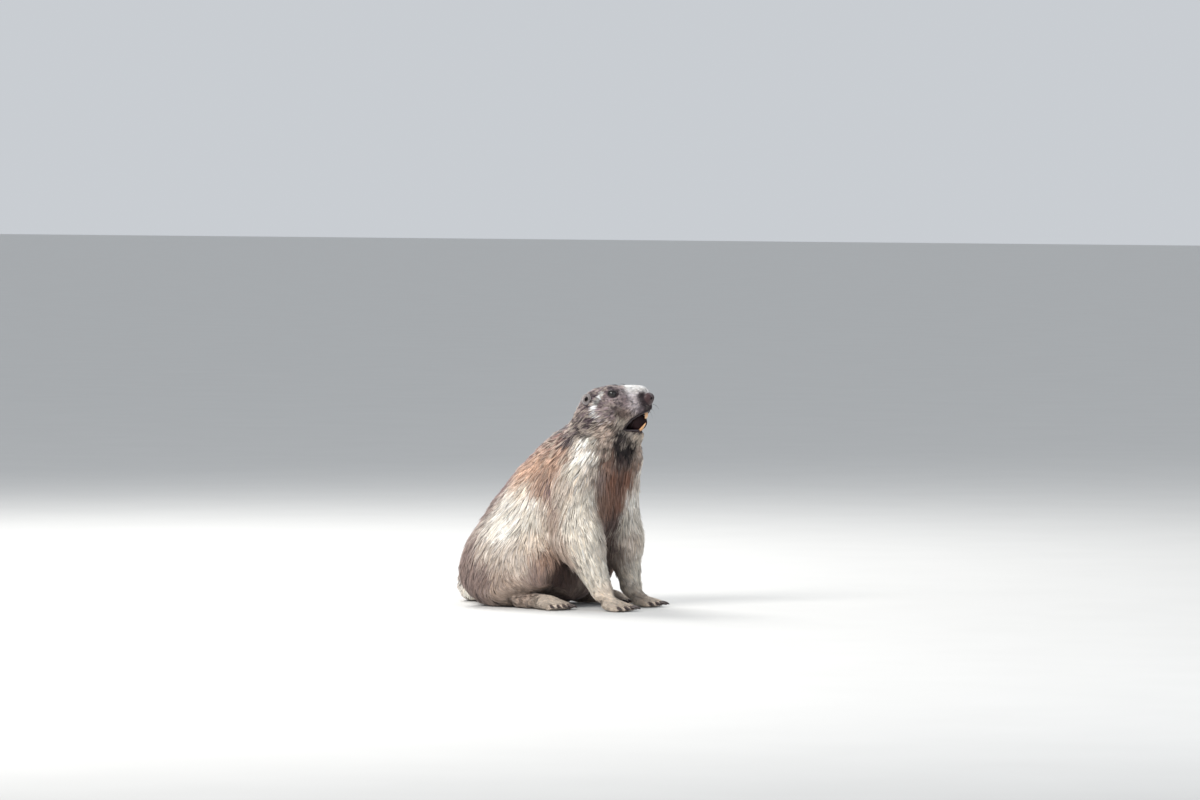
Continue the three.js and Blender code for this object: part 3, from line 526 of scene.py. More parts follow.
GUIDES = [
    Guide((50, 0, 255), (-0.75, 0, -0.66), 8, 17, 1.3),
    Guide((85, 45, 215), (-0.45, 0.1, -0.9), 10, 23, 1.4, both=True),
    Guide((115, 0, 225), (-0.1, 0, -1), 7, 20, 1.3),
    Guide((115, 0, 170), (-0.1, 0, -1), 14, 34, 1.45),
    Guide((100, 0, 120), (-0.35, 0, -0.94), 13, 34, 1.45),
    Guide((70, 0, 60), (-0.5, 0, -0.85), 9, 24, 1.45),
    Guide((70, 68, 165), (-0.15, 0.1, -0.98), 13, 34, 1.45, both=True),
    Guide((82, 64, 110), (0.05, 0, -1), 12, 31, 1.45, both=True),
    Guide((100, 60, 62), (0.4, 0, -0.9), 8, 21, 1.35, both=True),
    Guide((114, 51, 24), (0.7, 0, -0.7), 2.6, 9, 1.1, both=True),
    Guide((140, 51, 12), (1, 0, -0.2), 1.5, 6, 0.9, both=True),
    Guide((-40, 0, 181), (-0.65, 0, -0.76), 9, 25, 1.4),
    Guide((-100, 0, 110), (-0.5, 0, -0.86), 10, 28, 1.4),
    Guide((-10, 88, 110), (-0.45, 0, -0.9), 13, 36, 1.5, both=True),
    Guide((-40, 95, 60), (-0.35, 0, -0.94), 13, 36, 1.5, both=True),
    Guide((50, 75, 60), (0.2, 0, -0.98), 12, 31, 1.45, both=True),
    Guide((-125, 0, 50), (-0.2, 0, -0.98), 13, 36, 1.5),
    Guide((8, 68, 14), (1, 0.1, -0.2), 3, 10, 1.1, both=True),
    Guide((62, 75, 10), (1, 0.15, -0.1), 1.5, 6, 0.9, both=True),
    Guide((50, 0, 23), (-1, 0, 0.1), 0.9, 3.6, 0.6, on_head=True),
    Guide((30, 0, 30), (-1, 0, 0), 1.6, 6, 0.75, on_head=True),
    Guide((8, 0, 34), (-1, 0, 0), 2.4, 8, 0.85, on_head=True),
    Guide((-20, 0, 30), (-0.97, 0, -0.25), 3.4, 11, 0.95, on_head=True),
    Guide((-42, 0, 16), (-0.8, 0, -0.6), 6, 15, 1.15, on_head=True),
    Guide((21, 21, 15), (-0.9, 0.3, -0.3), 1.0, 4, 0.65, on_head=True, both=True),
    Guide((8.6, 27, 20), (-1, 0.1, -0.1), 0.8, 3.2, 0.6, on_head=True, both=True),
    Guide((6, 19, 31), (-0.95, 0.1, 0.05), 1.8, 6, 0.75, on_head=True, both=True),
    Guide((43, 16, 4), (-0.85, 0.3, -0.4), 1.2, 4.5, 0.65, on_head=True, both=True),
    Guide((38, 14, -8), (-0.7, 0.3, -0.65), 1.0, 4, 0.65, on_head=True, both=True),
    Guide((12, 31, -6), (-0.85, 0.2, -0.5), 3.6, 10, 1.05, on_head=True, both=True),
    Guide((-5, 34, -20), (-0.7, 0.1, -0.7), 6, 15, 1.2, on_head=True, both=True),
    Guide((-32, 36, -6), (-0.8, 0.1, -0.6), 5.5, 14, 1.2, on_head=True, both=True),
    Guide((-22, 33, 16), (-0.9, 0.2, -0.1), 2.4, 7, 0.85, on_head=True, both=True),
    Guide((33, 0, -42), (-0.8, 0, -0.6), 2.2, 7, 0.85, on_head=True),
    Guide((14, 17, -38), (-0.8, 0.2, -0.55), 4, 12, 1.05, on_head=True, both=True),
    Guide((2, 0, -50), (-0.6, 0, -0.8), 7, 19, 1.3, on_head=True),
]


class Coat:
    """The coat's lie, depth and length everywhere, from guides at a few places."""

    SOFT = 30.0  # square millimetres that round off the pull of a guide

    def __init__(self, guides: list[Guide]) -> None:
        """Places all guides in the body's frame, with those of both sides mirrored.

        Args:
            guides: All guides.
        """
        rows = []
        for guide in guides:
            for side in (1, -1) if guide.both else (1,):
                flip = np.array([1.0, side, 1.0])
                at, way = np.array([guide.at]) * flip, np.array([guide.way]) * flip
                if guide.on_head:
                    at, way = HEAD.body(at), HEAD.spread(way)
                rows.append([*at[0], *way[0], guide.deep, guide.long, guide.wide])
        for a, b in zip(TAIL, TAIL[1:]):
            way = unit(np.array(b, float) - np.array(a, float))
            rows.append([*a, *way, 12.0, 34.0, 1.5])
        rows.append([*TAIL[-1], 0.75, 0.65, -0.1, 9.0, 30.0, 1.5])
        self.rows = np.array(rows)

    def at(self, p: np.ndarray) -> Local:
        """The coat at places, from the guides around each.

        Args:
            p: Places, one a row.

        Returns:
            The coat at each place.
        """
        total = np.zeros(len(p))
        sums = np.zeros((len(p), 6))
        for row in self.rows:
            far = np.sum((p - row[:3].astype(p.dtype)) ** 2, axis=1)
            weight = 1.0 / (far + self.SOFT) ** 2
            total += weight
            sums += weight[:, None] * row[3:]
        sums /= total[:, None]
        return Local(unit(sums[:, :3]), sums[:, 3], sums[:, 4], sums[:, 5])


COAT = Coat(GUIDES)


def skin_depth(deep: np.ndarray) -> np.ndarray:
    """How deep the skin lies: all of a short coat's depth, and half of a long one's."""
    return deep * (1.0 - 0.5 * smooth(6.0, 9.0, deep))


FORM = Form()


# Markings


class Shade(Enum):
    """The colours of the coat and of the bare skin, and the painted shadow of the open mouth, as the screen
    shows them.
    """

    CREAM = 0xF1E9DE
    LINEN = 0xD8D0C3
    OAT = 0xD3C4B4
    SAND = 0xBEB1A5
    BUFF = 0xAA978A
    FAWN = 0xC6A28C
    TAN = 0xA78A79
    RUSSET = 0x8A6A60
    GREIGE = 0x84726C
    MAUVE = 0x7A6562
    BARK = 0x8E7A72
    MOCHA = 0x806456
    COCOA = 0x7F5846
    UMBER = 0x4C3B37
    SOOT = 0x20181A
    SMOKE = 0x483B40
    SLATE = 0x5F5257
    ASH = 0x9A898B
    PEWTER = 0xADA4A6
    PEARL = 0xC4BFC0
    SNOW = 0xF3F1EE
    LIP = 0x30262A
    # Painted shadow: the near-black inside the open mouth, laid on the mouth's inner rim and on the tongue.
    MOUTH_SHADOW = 0x1F1113

    @property
    def rgb(self) -> np.ndarray:
        """Its linear colour."""
        return linear(self.value)


@dataclass(frozen=True)
class Mark:
    """A place where the coat has a colour, and how far it carries against the marks around it."""

    at: Vec
    shade: Shade
    on_head: bool = False
    both: bool = True
    reach: float = 1.0


MARKS = [
    Mark((-22, 36, 8), Shade.SLATE, True),
    Mark((-3, 20, 30), Shade.SLATE, True),
    Mark((-17, 22, 24), Shade.SLATE, True),
    Mark((8, 0, 34), Shade.SLATE, True, False),
    Mark((15, 10, 31), Shade.ASH, True),
    Mark((24, 4, 31), Shade.SNOW, True, reach=0.9),
    Mark((32, 0, 30), Shade.SNOW, True, False),
    Mark((41, 0, 27), Shade.SNOW, True, False, 0.9),
    Mark((31, 9, 25), Shade.SNOW, True, reach=0.8),
    Mark((32, 13, 20), Shade.PEARL, True, reach=0.7),
    Mark((33, 15, 14), Shade.PEWTER, True),
    Mark((40, 17, 6), Shade.PEWTER, True),
    Mark((44, 14, 1), Shade.SLATE, True, reach=0.7),
    Mark((50, 5, 2), Shade.UMBER, True, reach=0.9),
    Mark((47, 12, 8), Shade.UMBER, True, reach=0.7),
    Mark((45, 12, 18), Shade.SMOKE, True, reach=0.6),
    Mark((24, 19, 12), Shade.ASH, True),
    Mark((9, 27, 29), Shade.SLATE, True),
    Mark((0, 33, 8), Shade.ASH, True),
    Mark((-4, 40, -2), Shade.ASH, True),
    Mark((9, 36, -11), Shade.ASH, True),
    Mark((22, 22, -8), Shade.BARK, True),
    Mark((21, 25, -17), Shade.OAT, True),
    Mark((12, 33, -28), Shade.BUFF, True),
    Mark((22, 20, -28), Shade.SAND, True),
    Mark((8, 36, -18), Shade.BUFF, True),
    Mark((35, 6, -37), Shade.OAT, True, True, 0.8),
    Mark((20, 14, -42), Shade.SAND, True),
    Mark((2, 0, -50), Shade.UMBER, True, False),
    Mark((82, 46, 237), Shade.SMOKE),
    Mark((97, 39, 252), Shade.SMOKE),
    Mark((69, 52, 226), Shade.SMOKE),
    Mark((50, 0, 252), Shade.SMOKE, both=False),
    Mark((40, 22, 240), Shade.SMOKE),
    Mark((111, 38, 236), Shade.BUFF),
    Mark((115, 38, 219), Shade.BUFF),
    Mark((98, 56, 216), Shade.CREAM, reach=1.2),
    Mark((104, 50, 222), Shade.LINEN),
    Mark((20, 0, 226), Shade.RUSSET, both=False),
    Mark((45, 45, 223), Shade.RUSSET),
    Mark((37, 59, 204), Shade.TAN),
    Mark((64, 62, 204), Shade.TAN),
    Mark((52, 68, 194), Shade.FAWN),
    Mark((23, 62, 190), Shade.FAWN),
    Mark((0, 30, 200), Shade.RUSSET),
    Mark((-30, 0, 186), Shade.MAUVE, both=False),
    Mark((-38, 40, 160), Shade.MAUVE),
    Mark((-70, 0, 145), Shade.MAUVE, both=False),
    Mark((-66, 52, 134), Shade.GREIGE),
    Mark((43, 68, 184), Shade.TAN),
    Mark((36, 74, 160), Shade.TAN),
    Mark((8, 74, 160), Shade.OAT),
    Mark((0, 66, 178), Shade.FAWN),
    Mark((20, 78, 140), Shade.CREAM),
    Mark((-16, 78, 142), Shade.CREAM),
    Mark((30, 80, 96), Shade.OAT),
    Mark((2, 79, 129), Shade.CREAM),
    Mark((-18, 87, 104), Shade.CREAM),
    Mark((26, 78, 116), Shade.LINEN),
    Mark((-27, 97, 75), Shade.SAND),
    Mark((22, 96, 63), Shade.SAND),
    Mark((60, 76, 117), Shade.BUFF),
    Mark((-14, 92, 28), Shade.BUFF),
    Mark((-43, 98, 41), Shade.GREIGE),
    Mark((-70, 84, 20), Shade.GREIGE),
    Mark((16, 88, 28), Shade.BUFF),
    Mark((42, 89, 43), Shade.BARK),
    Mark((56, 78, 63), Shade.TAN),
    # Dark marks low between the legs and under the belly: painted shade of the underside.
    Mark((60, 52, 46), Shade.UMBER, reach=1.3),
    Mark((30, 0, 12), Shade.UMBER, both=False),
    Mark((86, 80, 70), Shade.BUFF),
    Mark((93, 67, 185), Shade.LINEN),
    Mark((101, 55, 206), Shade.CREAM),
    Mark((110, 52, 186), Shade.SAND),
    Mark((84, 76, 162), Shade.SAND),
    Mark((106, 66, 146), Shade.LINEN),
    Mark((100, 78, 118), Shade.LINEN),
    Mark((118, 66, 104), Shade.LINEN),
    Mark((112, 76, 77), Shade.LINEN),
    Mark((118, 60, 50), Shade.LINEN),
    Mark((138, 52, 14), Shade.OAT),
    Mark((110, 36, 90), Shade.SAND),
    # Dark marks under the chin and down the chest between the forelegs: partly the darker fur there, partly
    # painted shade of the shaded front.
    Mark((128, 0, 200), Shade.UMBER, both=False),
    Mark((130, -24, 204), Shade.MOCHA, both=False),
    # Pale marks down the far side's front edge: painted light, a bright rim as of light from behind and a
    # lift where the lamps leave the far side in shade.
    Mark((131, 28, 208), Shade.BUFF, both=False),
    Mark((124, 42, 188), Shade.CREAM, both=False),
    Mark((121, 40, 168), Shade.SAND, both=False),
    Mark((116, 42, 142), Shade.CREAM, both=False),
    Mark((108, 30, 110), Shade.LINEN, both=False),
    # More dark marks on the chest and between the forelegs: partly darker fur, partly painted shade.
    Mark((120, 32, 190), Shade.MOCHA),
    Mark((120, 16, 170), Shade.COCOA),
    Mark((117, -36, 170), Shade.BARK, both=False),
    Mark((116, 0, 140), Shade.COCOA, both=False),
    Mark((113, -28, 137), Shade.MOCHA, both=False),
    Mark((106, 12, 108), Shade.UMBER),
    Mark((90, 14, 80), Shade.UMBER),
    Mark((62, 75, 12), Shade.OAT),
    Mark((-78, 85, 76), Shade.GREIGE),
    Mark((-88, 82, 44), Shade.GREIGE),
    Mark((-110, 0, 110), Shade.MAUVE, both=False),
    Mark((-118, 40, 70), Shade.MAUVE),
    Mark((-122, 0, 50), Shade.GREIGE, both=False),
    Mark((-140, -10, 14), Shade.CREAM, both=False),
    Mark((-134, 22, 34), Shade.GREIGE, both=False),
    Mark((-152, 58, 22), Shade.BARK, both=False),
    Mark((-145, 96, 20), Shade.COCOA, both=False),
    Mark((-122, 130, 12), Shade.SOOT, both=False, reach=1.3),
]


@dataclass(frozen=True)
class Streak:
    """A band of one colour along a line, with soft edges."""

    line: tuple[Vec, ...]
    shade: Shade
    wide: float
    soft: float
    strength: float = 1.0
    on_head: bool = False

    def share(self, p: np.ndarray) -> np.ndarray:
        """How much of the colour each place takes, with the line on both sides of the animal.

        Args:
            p: Places, one a row.

        Returns:
            A share from 0 to 1 for each place.
        """
        q = HEAD.local(p) if self.on_head else p
        q = q * np.array([1.0, 0.0, 1.0]) + np.abs(q) * np.array([0.0, 1.0, 0.0])
        far = np.full(len(q), 1e9)
        for start, end in zip(self.line, self.line[1:]):
            a, e = np.array(start, float), np.array(end, float) - np.array(start, float)
            t = np.clip((q - a) @ e / (e @ e), 0.0, 1.0)
            far = np.minimum(far, np.linalg.norm(q - a - t[:, None] * e, axis=1))
        return self.strength * (1.0 - smooth(self.wide - self.soft, self.wide + self.soft, far))


STREAKS = [
    # A dark band where the foreleg meets the trunk: painted shade in the crease.
    Streak(((46, 72, 168), (53, 75, 150), (62, 80, 128)), Shade.MAUVE, 6.5, 3.5, 1.0),
    # Dark lines under the chin and down the middle of the chest: partly darker fur, partly painted shade.
    Streak(((123, 9, 228), (127, 10, 218), (128, 5, 204)), Shade.SOOT, 11.0, 5.0, 0.97),
    Streak(((128, 0, 200), (120, 0, 165), (108, 8, 112)), Shade.UMBER, 6.0, 6.0, 0.6),
    Streak(
        ((-6, 27, 21), (-9, 31, 15), (-12, 34, 9), (-15, 38, 2), (-15, 40, -5), (-10, 41, -10)),
        Shade.SNOW, 3.2, 1.2, 1.0, True,
    ),
    Streak(((46, 13, 17), (48, 12, 8), (50, 8, 1)), Shade.LIP, 6.0, 3.0, 0.85, True),
    Streak(((-10, 41, -10), (-4, 41, -14), (6, 39, -17)), Shade.PEARL, 2.4, 2.0, 0.6, True),
    Streak(((-24, 38, -8), (-14, 41, -18), (-8, 38, -30)), Shade.SMOKE, 3.0, 3.0, 0.6, True),
    Streak(((12, 27, 19), (21, 22, 13)), Shade.SOOT, 1.0, 1.2, 0.7, True),
    Streak(((34, 9, -31), (40, 6, -31), (44, 0, -31)), Shade.LIP, 4.0, 1.5, 0.95, True),
    Streak(((46, 8, 1), (53, 0, 2)), Shade.LIP, 4.0, 2.5, 0.7, True),
]


class Markings:
    """The colour of the coat everywhere, from the marks around each place."""

    SOFT = 12.0  # square millimetres that round off the pull of a mark
    FALL = 2.2  # how fast its pull falls off
    WAVE = 17.0  # length of the waves in the edges between colours
    SWAY = (1.6, 5.0)  # how far the waves go, on the head and below it
    HEAD_FROM = 225.0  # height at which the head starts

    def __init__(self, marks: list[Mark]) -> None:
        """Places all marks in the body's frame, with those of both sides mirrored.

        Args:
            marks: All marks.
        """
        rows = []
        for mark in marks:
            for side in (1, -1) if mark.both else (1,):
                at = np.array([mark.at]) * np.array([1.0, side, 1.0])
                if mark.on_head:
                    at = HEAD.body(at)
                rows.append([*at[0], mark.reach, *mark.shade.rgb])
        self.rows = np.array(rows)

    def at(self, p: np.ndarray) -> np.ndarray:
        """The linear colour at places on the body.

        Args:
            p: Places in the body's frame.

        Returns:
            One colour a row.
        """
        warp = np.stack([noise(p, self.WAVE, seed) for seed in (3, 5, 7)], axis=1)
        q = p + warp * np.where(p[:, 2:] > self.HEAD_FROM, *self.SWAY)
        total = np.zeros(len(p))
        found = np.zeros((len(p), 3))
        for row in self.rows:
            far = np.sum((q - row[:3]) ** 2, axis=1) / row[3] ** 2
            weight = 1.0 / (far + self.SOFT) ** self.FALL
            total += weight
            found += weight[:, None] * row[4:]
        found /= total[:, None]
        layers = [(streak.share(p), streak.shade) for streak in STREAKS]
        mouth = FORM.mouth_distance(p)
        # Round the mouth the lip's own dark skin, and at its inner edge the painted shadow of the open
        # mouth.
        rims = ((2.4, Shade.LIP), (0.4, Shade.MOUTH_SHADOW))
        layers += [(1.0 - smooth(wide * 0.5, wide, mouth), shade) for wide, shade in rims]
        q = HEAD.local(p)
        for side in SIDES:
            at = mirrored(EYE_AT, side) + np.array([0.6, 0.0, 0.0])
            off = np.linalg.norm((q - at) / [1.2, 1.0, 0.82], axis=1)
            layers.append((1.0 - smooth(6.6, 8.4, off), Shade.LIP))
        for share, shade in layers:
            found = found * (1.0 - share[:, None]) + shade.rgb * share[:, None]
        return found


MARKINGS = Markings(MARKS)


# Meshes


@dataclass
class Net:
    """Points in millimetres and the faces on them, all with the same number of corners."""

    points: np.ndarray
    faces: np.ndarray

    def joined(self, *others: "Net") -> "Net":
        """This net and others as one.

        Args:
            *others: Nets whose faces have as many corners as its own.

        Returns:
            The joined net.
        """
        nets = [self, *others]
        starts = np.cumsum([0] + [len(n.points) for n in nets[:-1]])
        return Net(
            np.concatenate([n.points for n in nets]),
            np.concatenate([n.faces + s for n, s in zip(nets, starts)]),
        )

    def placed(self) -> "Net":
        """The net moved from the head's own frame into the body's."""
        return Net(HEAD.body(self.points), self.faces)

    def triangles(self) -> np.ndarray:
        """Its faces split into triangles.

        Returns:
            Three corners for each triangle.
        """
        if self.faces.shape[1] == 3:
            return self.faces
        return np.concatenate([self.faces[:, [0, 1, 2]], self.faces[:, [0, 2, 3]]])


def net_surface(
    distance: Callable[[np.ndarray], np.ndarray],
    low: Vec,
    high: Vec,
    step: float,
    keep: Callable[[np.ndarray], np.ndarray] | None = None,
) -> Net:
    """The surface where a distance is zero, as a net of quads.

    Args:
        distance: Gives the distance for places, one a row.
        low: Lowest corner of the box that holds the surface.
        high: Highest corner.
        step: Size of a quad.
        keep: Says which quads stay, from their middles.

    Returns:
        The net, with its faces turned outwards.
    """
    coarse = 4
    counts = [int(math.ceil((b - a) / (step * coarse))) * coarse + 1 for a, b in zip(low, high)]
    axes = [low[i] + step * np.arange(counts[i]) for i in range(3)]
    rough_axes = [axis[::coarse] for axis in axes]
    rough_points = np.stack(np.meshgrid(*rough_axes, indexing="ij"), axis=-1)
    rough = distance(rough_points.reshape(-1, 3)).reshape(rough_points.shape[:3])
    near = np.abs(rough) < step * coarse * 1.5
    cell = np.zeros([n - 1 for n in near.shape], bool)
    shifts = [(i, j, k) for i in (0, 1) for j in (0, 1) for k in (0, 1)]
    for i, j, k in shifts:
        size = [n - 1 for n in near.shape]
        cell |= near[i : i + size[0], j : j + size[1], k : k + size[2]]
    fine_index = [np.minimum(np.arange(n) // coarse, cell.shape[a] - 1) for a, n in enumerate(counts)]
    wanted = cell[np.ix_(*fine_index)]
    for axis in range(3):
        back = [np.maximum(np.arange(n) - 1, 0) // coarse for n in counts]
        index = [fine_index[a] if a != axis else np.minimum(back[a], cell.shape[a] - 1) for a in range(3)]
        wanted |= cell[np.ix_(*index)]
    nearest = [(np.arange(n) + coarse // 2) // coarse for n in counts]
    nearest = [np.minimum(index, rough.shape[a] - 1) for a, index in enumerate(nearest)]
    values = rough[np.ix_(*nearest)]
    spots = np.argwhere(wanted)
    places = np.stack([axes[a][spots[:, a]] for a in range(3)], axis=1)
    batches = np.array_split(places, max(1, len(places) // MOST_PLACES))
    found = np.concatenate([distance(batch) for batch in batches])
    values[wanted] = found
    inside = values < 0
    sizes = [n - 1 for n in counts]
    corner = [inside[i : i + sizes[0], j : j + sizes[1], k : k + sizes[2]] for i, j, k in shifts]
    mixed = np.any(corner, axis=0) & ~np.all(corner, axis=0)
    cells = np.argwhere(mixed)
    number = np.full(sizes, -1, np.int64)
    number[tuple(cells.T)] = np.arange(len(cells))
    total = np.zeros((len(cells), 3))
    crossings = np.zeros(len(cells))
    for a in range(3):
        for u in (0, 1):
            for v in (0, 1):
                start = np.zeros(3, int)
                start[(a + 1) % 3], start[(a + 2) % 3] = u, v
                end = start.copy()
                end[a] = 1
                first = values[tuple((cells + start).T)]
                last = values[tuple((cells + end).T)]
                cross = (first < 0) != (last < 0)
                t = np.where(cross, first / np.where(cross, first - last, 1.0), 0.0)
                total[cross] += (cells + start)[cross] + t[cross, None] * (end - start)
                crossings += cross
    points = np.array(low) + step * total / crossings[:, None]
    faces = []
    for a in range(3):
        b, c = (a + 1) % 3, (a + 2) % 3
        one = [slice(None)] * 3
        two = [slice(None)] * 3
        one[a], two[a] = slice(0, -1), slice(1, None)
        change = inside[tuple(one)] != inside[tuple(two)]
        for axis in (b, c):
            edge = [slice(None)] * 3
            edge[axis] = 0
            change[tuple(edge)] = False
            edge[axis] = -1
            change[tuple(edge)] = False
        edges = np.argwhere(change)
        corners = []
        for u, v in ((0, 0), (1, 0), (1, 1), (0, 1)):
            spot = edges.copy()
            spot[:, b] -= u
            spot[:, c] -= v
            corners.append(number[tuple(spot.T)])
        quads = np.stack(corners, axis=1)
        outward = inside[tuple(edges.T)]
        quads[~outward] = quads[~outward][:, ::-1]
        faces.append(quads)
    net = Net(points, np.concatenate(faces))
    if keep is not None:
        net.faces = net.faces[keep(points[net.faces].mean(axis=1))]
        used, again = np.unique(net.faces, return_inverse=True)
        net = Net(points[used], again.reshape(net.faces.shape))
    return net


def net_tube(
    path: np.ndarray,
    across: np.ndarray,
    sizes: np.ndarray,
    sides: int,
    ring: bool = False,
) -> Net:
    """A bar with an oval section along a path.

    Args:
        path: Points along its middle.
        across: A direction for each point that sets the section's first axis.
        sizes: Half width and half thickness at each point.
        sides: Corners of the section.
        ring: True where the path closes on itself.

    Returns:
        A closed net of quads, where a quad at an end may have two corners in one place.
    """
    count = len(path)
    tangent = np.roll(path, -1, 0) - np.roll(path, 1, 0) if ring else np.gradient(path, axis=0)
    tangent = unit(tangent)
    first = unit(across - np.sum(across * tangent, axis=1, keepdims=True) * tangent)
    second = np.cross(tangent, first)
    angle = 2 * np.pi * np.arange(sides) / sides
    round_ = np.cos(angle)[None, :, None] * first[:, None] * sizes[:, :1, None]
    round_ = round_ + np.sin(angle)[None, :, None] * second[:, None] * sizes[:, 1:, None]
    points = (path[:, None] + round_).reshape(-1, 3)
    faces = []
    for i in range(count if ring else count - 1):
        for s in range(sides):
            a, b = i * sides + s, i * sides + (s + 1) % sides
            j = (i + 1) % count
            faces.append([a, b, j * sides + (s + 1) % sides, j * sides + s])
    if not ring:
        ends = [path[0], path[-1]]
        points = np.concatenate([points, ends])
        for end, base in ((0, 0), (1, (count - 1) * sides)):
            middle = count * sides + end
            for s in range(0, sides, 2):
                a, b, c = base + s, base + (s + 1) % sides, base + (s + 2) % sides
                faces.append([middle, c, b, a] if end == 0 else [middle, a, b, c])
    return Net(points, np.array(faces))


def net_ball(at: Vec, radii: Vec, rings: int = 24, sides: int = 32) -> Net:
    """A closed ball of quads and, at its poles, of thin ones.

    Args:
        at: Its middle.
        radii: Its half sizes.
        rings: Rings from pole to pole.
        sides: Corners of each ring.

    Returns:
        The ball.
    """
    tilt = np.pi * (np.arange(rings) + 0.5) / rings
    angle = 2 * np.pi * np.arange(sides) / sides
    x = np.sin(tilt)[:, None] * np.cos(angle)
    y = np.sin(tilt)[:, None] * np.sin(angle)
    z = np.repeat(np.cos(tilt)[:, None], sides, axis=1)
    points = np.stack([x, y, z], axis=-1).reshape(-1, 3)
    points = np.concatenate([points, [[0, 0, 1.0]], [[0, 0, -1.0]]])
    faces = []
    for i in range(rings - 1):
        for s in range(sides):
            t = (s + 1) % sides
            faces.append([i * sides + s, (i + 1) * sides + s, (i + 1) * sides + t, i * sides + t])
    top, bottom, last = rings * sides, rings * sides + 1, (rings - 1) * sides
    for s in range(0, sides, 2):
        t, u = (s + 1) % sides, (s + 2) % sides
        faces.append([top, s, t, u])
        faces.append([bottom, last + u, last + t, last + s])
    return Net(points * np.array(radii) + np.array(at), np.array(faces))


@dataclass(frozen=True)
class Piece:
    """What a piece is called, the material slot it belongs to and the nodes it stands for."""

    name: str
    slot: str
    stands_for: tuple[str, ...] = ()


def build(
    piece: Piece,
    net: Net,
    material: bpy.types.Material,
    colours: np.ndarray,
    smoothly: bool = True,
) -> bpy.types.Object:
    """Makes an object of a net, dresses it and lets it ride on the body.

    Args:
        piece: Its name and the nodes it replaces; its slot is not used.
        net: Its shape in millimetres.
        material: Its finish.
        colours: A linear colour for each point.
        smoothly: True for a smooth shading.

    Returns:
        The object.
    """
    mesh = bpy.data.meshes.new(piece.name)
    corners = net.faces.shape[1]
    mesh.vertices.add(len(net.points))
    mesh.vertices.foreach_set("co", ((net.points - SEAT) * MM).astype(np.float32).ravel())
    mesh.loops.add(net.faces.size)
    mesh.loops.foreach_set("vertex_index", net.faces.astype(np.int32).ravel())
    mesh.polygons.add(len(net.faces))
    mesh.polygons.foreach_set("loop_start", np.arange(0, net.faces.size, corners, dtype=np.int32))
    mesh.polygons.foreach_set("use_smooth", np.full(len(net.faces), smoothly))
    mesh.update(calc_edges=True)
    attribute = mesh.color_attributes.new("Coat", "FLOAT_COLOR", "POINT")
    rgba = np.concatenate([np.clip(colours, 0.0, 1.0), np.ones((len(colours), 1))], axis=1)
    attribute.data.foreach_set("color", rgba.astype(np.float32).ravel())
    mesh.materials.append(material)
    made = bpy.data.objects.new(piece.name, mesh)
    bpy.context.scene.collection.objects.link(made)
    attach(made, "root")
    if piece.stands_for:
        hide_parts(*piece.stands_for)
    LOG.info("%s: %d faces", piece.name, len(net.faces))
    return made


# Finishes


class Bench:
    """A material's node tree while it is being put together."""

    def __init__(self, tree: bpy.types.NodeTree) -> None:
        """Keeps the tree."""
        self.tree = tree

    def add(self, kind: str, **values: object) -> bpy.types.Node:
        """A new node with its settings and the values of its inputs.

        Args:
            kind: The node's type.
            **values: Settings by name, or inputs by name with underscores for spaces.

        Returns:
            The node.
        """
        node = self.tree.nodes.new(kind)
        for name, value in values.items():
            label = name.replace("_", " ")
            if label in node.inputs:
                node.inputs[label].default_value = value
            else:
                setattr(node, name, value)
        return node

    def link(self, start: bpy.types.NodeSocket, end: bpy.types.NodeSocket) -> None:
        """Joins an output to an input."""
        self.tree.links.new(start, end)


def new_group(name: str, inputs: dict[str, str], outputs: dict[str, str]) -> Bench:
    """Starts a group of shader nodes.

    Args:
        name: Its name.
        inputs: The kind of each input, by its name.
        outputs: The kind of each output.

    Returns:
        The bench with the group's tree.
    """
    bench = Bench(bpy.data.node_groups.new(name, "ShaderNodeTree"))
    for way, sockets in (("INPUT", inputs), ("OUTPUT", outputs)):
        for label, kind in sockets.items():
            bench.tree.interface.new_socket(label, in_out=way, socket_type=f"NodeSocket{kind}")
    return bench


def grain_group() -> bpy.types.NodeTree:
    """The effect that every finish shares: a mottle over its colour, and the height of a fine grain.

    Returns:
        A group with the inputs Color, Scale and Amount and the outputs Color and Height.
    """
    inputs = {"Color": "Color", "Scale": "Float", "Amount": "Float"}
    bench = new_group("Grain", inputs, {"Color": "Color", "Height": "Float"})
    start, end = bench.add("NodeGroupInput"), bench.add("NodeGroupOutput")
    place = bench.add("ShaderNodeTexCoord")
    spots = bench.add("ShaderNodeTexNoise", Detail=4.0, Roughness=0.6)
    centred = bench.add("ShaderNodeMath", operation="SUBTRACT")
    centred.inputs[1].default_value = 0.5
    scaled = bench.add("ShaderNodeMath", operation="MULTIPLY")
    lifted = bench.add("ShaderNodeMath", operation="ADD")
    lifted.inputs[1].default_value = 1.0
    tinted = bench.add("ShaderNodeVectorMath", operation="SCALE")
    bench.link(place.outputs["Object"], spots.inputs["Vector"])
    bench.link(start.outputs["Scale"], spots.inputs["Scale"])
    bench.link(spots.outputs["Fac"], centred.inputs[0])
    bench.link(centred.outputs[0], scaled.inputs[0])
    bench.link(start.outputs["Amount"], scaled.inputs[1])
    bench.link(scaled.outputs[0], lifted.inputs[0])
    bench.link(start.outputs["Color"], tinted.inputs[0])
    bench.link(lifted.outputs[0], tinted.inputs["Scale"])
    bench.link(tinted.outputs[0], end.inputs["Color"])
    bench.link(spots.outputs["Fac"], end.inputs["Height"])
    return bench.tree


